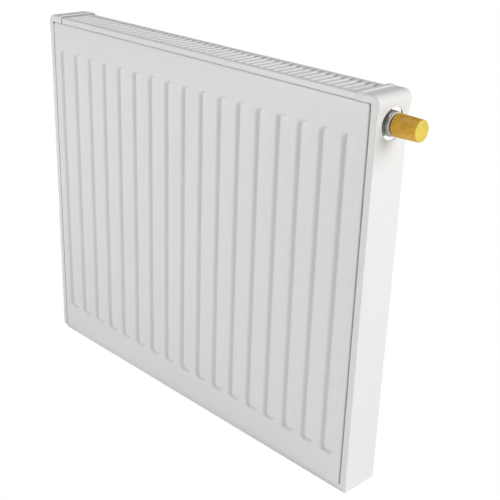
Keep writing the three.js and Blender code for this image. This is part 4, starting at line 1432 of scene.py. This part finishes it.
def make_nipples():
    for name, node_name, tail in (
        ("nipple_return", "return_nipple", False), ("nipple_supply", "supply_nipple", True)
    ):
        low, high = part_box(node_name)
        x = (low.x + high.x) / 2
        radius, bore = 13.2 * MM, 8 * MM
        end = low.z + 14.7 * MM
        outside = [(bore, low.z), (radius - 1.2 * MM, low.z)]
        outside += threads(radius, low.z + 0.4 * MM, end - 1.9 * MM)
        outside += [(radius, end)]
        if tail:
            outside += [(radius + 1.4 * MM, end + 0.1 * MM), (radius + 2 * MM, end + 0.8 * MM),
                        (radius + 2 * MM, end + 7.2 * MM), (radius + 1.4 * MM, end + 8 * MM),
                        (9.9 * MM, end + 9.4 * MM), (9.5 * MM, end + 11 * MM), (9.5 * MM, high.z - 0.5 * MM),
                        (9.0 * MM, high.z), (7.3 * MM, high.z), (7.3 * MM, high.z - 12 * MM),
                        (5 * MM, high.z - 12 * MM), (5 * MM, low.z + 12 * MM), (bore, low.z + 10 * MM)]
        else:
            outside += [(bore, high.z)]
        stock = Stock()
        add_turned(stock, outside, upright(x, AXIS_Y), 72, closed=True)
        piece = to_object(name, stock)
        smooth(piece, 30.0)
        placed_on(piece, "root", ["satin nickel"], [node_name])


class RADIATOR_OT_pipework(bpy.types.Operator):
    """Draw the supply pipe and turn the two lower nipples."""

    bl_idname = "radiator.pipework"
    bl_label = "Pipe and nipples"

    def execute(self, context):
        make_pipe()
        make_nipples()
        return {"FINISHED"}


class RADIATOR_OT_inner(bpy.types.Operator):
    """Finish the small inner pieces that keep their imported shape."""

    bl_idname = "radiator.inner"
    bl_label = "Inner pieces"

    def execute(self, context):
        finishes = {
            "plug_seal_lower_left": "seal rubber",
            "plug_seal_lower_right": "seal rubber",
            "vent_plug_seal": "seal rubber",
            "insert_seal": "seal rubber",
            "valve_disc": "seal rubber",
            "vent_seal": "seal rubber",
            "return_spring": "spring strip",
            "gland_nut": "turned brass",
            "valve_stem": "zinc-plated steel",
        }
        for node_name, finish in finishes.items():
            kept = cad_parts[node_name]
            weld = kept.modifiers.new("Joined corners", "WELD")
            weld.merge_threshold = 0.005 * MM
            bevel = kept.modifiers.new("Softened edges", "BEVEL")
            bevel.width = 0.12 * MM
            bevel.segments = 2
            bevel.limit_method = "ANGLE"
            bevel.angle_limit = math.radians(50)
            if not kept.material_slots:
                kept.data.materials.append(None)
            for slot in kept.material_slots:
                slot.link = "OBJECT"
                slot.material = finish_for(finish)
        return {"FINISHED"}


# ---------------------------------------------------------------- stage


def add_softbox(name, place, aim, width, height, power):
    lamp = bpy.data.lights.new(name, "AREA")
    lamp.shape = "RECTANGLE"
    lamp.size, lamp.size_y = width, height
    lamp.energy = power
    box = bpy.data.objects.new(name, lamp)
    box.location = place
    box.rotation_mode = "QUATERNION"
    box.rotation_quaternion = (Vector(aim) - Vector(place)).to_track_quat("-Z", "Y")
    bpy.context.scene.collection.objects.link(box)


def add_camera():
    azimuth, elevation, roll = math.radians(-45.49), math.radians(23.06), math.radians(2.14)
    away = Vector((
        math.cos(elevation) * math.cos(azimuth),
        math.cos(elevation) * math.sin(azimuth),
        math.sin(elevation),
    ))
    target, distance_away = Vector((0.1006, -0.031, 0.253)), 1.2491
    camera = bpy.data.cameras.new("camera")
    camera.sensor_width = 36.0
    camera.lens = 69.96
    camera.shift_x, camera.shift_y = -0.0082, 0.0053
    camera.clip_start, camera.clip_end = 0.05, 60.0
    holder = bpy.data.objects.new("camera", camera)
    holder.location = target + away * distance_away
    side = Vector((0, 0, 1)).cross(away).normalized()
    over = away.cross(side)
    right = side * math.cos(roll) + over * math.sin(roll)
    up = over * math.cos(roll) - side * math.sin(roll)
    turn = holder.matrix_world.to_3x3()
    for row in range(3):
        turn[row][0], turn[row][1], turn[row][2] = right[row], up[row], away[row]
    holder.rotation_mode = "QUATERNION"
    holder.rotation_quaternion = turn.to_quaternion()
    bpy.context.scene.collection.objects.link(holder)
    bpy.context.scene.camera = holder


def add_floor():
    """A plain pale floor, seen as evenly white and giving soft light back."""
    stock = Stock()
    size, level = 14.0, CAD_BOX[0].z - 4 * MM
    corners = ((-size, -size), (size, -size), (size, size), (-size, size))
    stock.face([(x, y, level) for x, y in corners])
    floor = to_object("floor", stock, outward=False)
    made = bpy.data.materials.new("pale floor")
    made.use_nodes = True
    tree = made.node_tree
    shader = tree.nodes["Principled BSDF"]
    shader.inputs["Base Color"].default_value = tuple(colours().floor)
    shader.inputs["Roughness"].default_value = 0.8
    glow = node(tree, "ShaderNodeEmission", {"Color": (1, 1, 1, 1), "Strength": 1.0})
    seen = node(tree, "ShaderNodeLightPath").outputs["Is Camera Ray"]
    blend = node(tree, "ShaderNodeMixShader", {0: seen})
    tree.links.new(shader.outputs["BSDF"], blend.inputs[1])
    tree.links.new(glow.outputs["Emission"], blend.inputs[2])
    tree.links.new(blend.outputs["Shader"], tree.nodes["Material Output"].inputs["Surface"])
    floor.data.materials.append(made)


def add_sky():
    world = bpy.data.worlds.new("studio")
    bpy.context.scene.world = world
    world.use_nodes = True
    tree = world.node_tree
    fill = tree.nodes["Background"]
    fill.inputs["Color"].default_value = (0.995, 1.0, 0.998, 1)
    fill.inputs["Strength"].default_value = 0.33
    behind = node(tree, "ShaderNodeBackground", {"Color": (1, 1, 1, 1), "Strength": 1.0})
    seen = node(tree, "ShaderNodeLightPath").outputs["Is Camera Ray"]
    blend = node(tree, "ShaderNodeMixShader", {0: seen})
    tree.links.new(fill.outputs["Background"], blend.inputs[1])
    tree.links.new(behind.outputs["Background"], blend.inputs[2])
    tree.links.new(blend.outputs["Shader"], tree.nodes["World Output"].inputs["Surface"])


class RADIATOR_OT_stage(bpy.types.Operator):
    """Set the floor, the soft lights and the camera."""

    bl_idname = "radiator.stage"
    bl_label = "Stage"

    def execute(self, context):
        add_camera()
        add_floor()
        add_sky()
        middle = (0.0, -0.03, 0.25)
        add_softbox("light_right", (4.1, 1.5, 2.6), middle, 3.2, 3.2, 147)
        add_softbox("light_front", (-0.9, -2.0, 0.7), middle, 1.4, 1.4, 15)
        add_softbox("light_floor", (-0.5, -1.7, 0.55), (-0.5, -1.7, 0.0), 1.4, 1.2, 3.4)
        context.scene.view_settings.view_transform = "Standard"
        return {"FINISHED"}


# ---------------------------------------------------------------- panel and registration

STEPS = (
    RADIATOR_OT_stage,
    RADIATOR_OT_panel,
    RADIATOR_OT_fins,
    RADIATOR_OT_grille,
    RADIATOR_OT_covers,
    RADIATOR_OT_clips,
    RADIATOR_OT_connections,
    RADIATOR_OT_valve,
    RADIATOR_OT_pipework,
    RADIATOR_OT_inner,
)


class RADIATOR_PT_panel(bpy.types.Panel):
    """Sizes, colours and steps of the radiator."""

    bl_idname = "RADIATOR_PT_panel"
    bl_label = "Panel Radiator"
    bl_space_type = "VIEW_3D"
    bl_region_type = "UI"
    bl_category = "Radiator"

    def draw(self, context):
        for group in (context.scene.radiator_sizes, context.scene.radiator_colours):
            box = self.layout.box()
            for key in group.__annotations__:
                box.prop(group, key)
        for step in STEPS:
            self.layout.operator(step.bl_idname)


CLASSES = (RadiatorSizes, RadiatorColours) + STEPS + (RADIATOR_PT_panel,)


def register():
    for made in CLASSES:
        bpy.utils.register_class(made)
    bpy.types.Scene.radiator_sizes = bpy.props.PointerProperty(type=RadiatorSizes)
    bpy.types.Scene.radiator_colours = bpy.props.PointerProperty(type=RadiatorColours)


def unregister():
    del bpy.types.Scene.radiator_colours
    del bpy.types.Scene.radiator_sizes
    for made in reversed(CLASSES):
        bpy.utils.unregister_class(made)


def main():
    register()
    for step in STEPS:
        family, name = step.bl_idname.split(".")
        getattr(getattr(bpy.ops, family), name)()


if __name__ == "__main__":
    main()
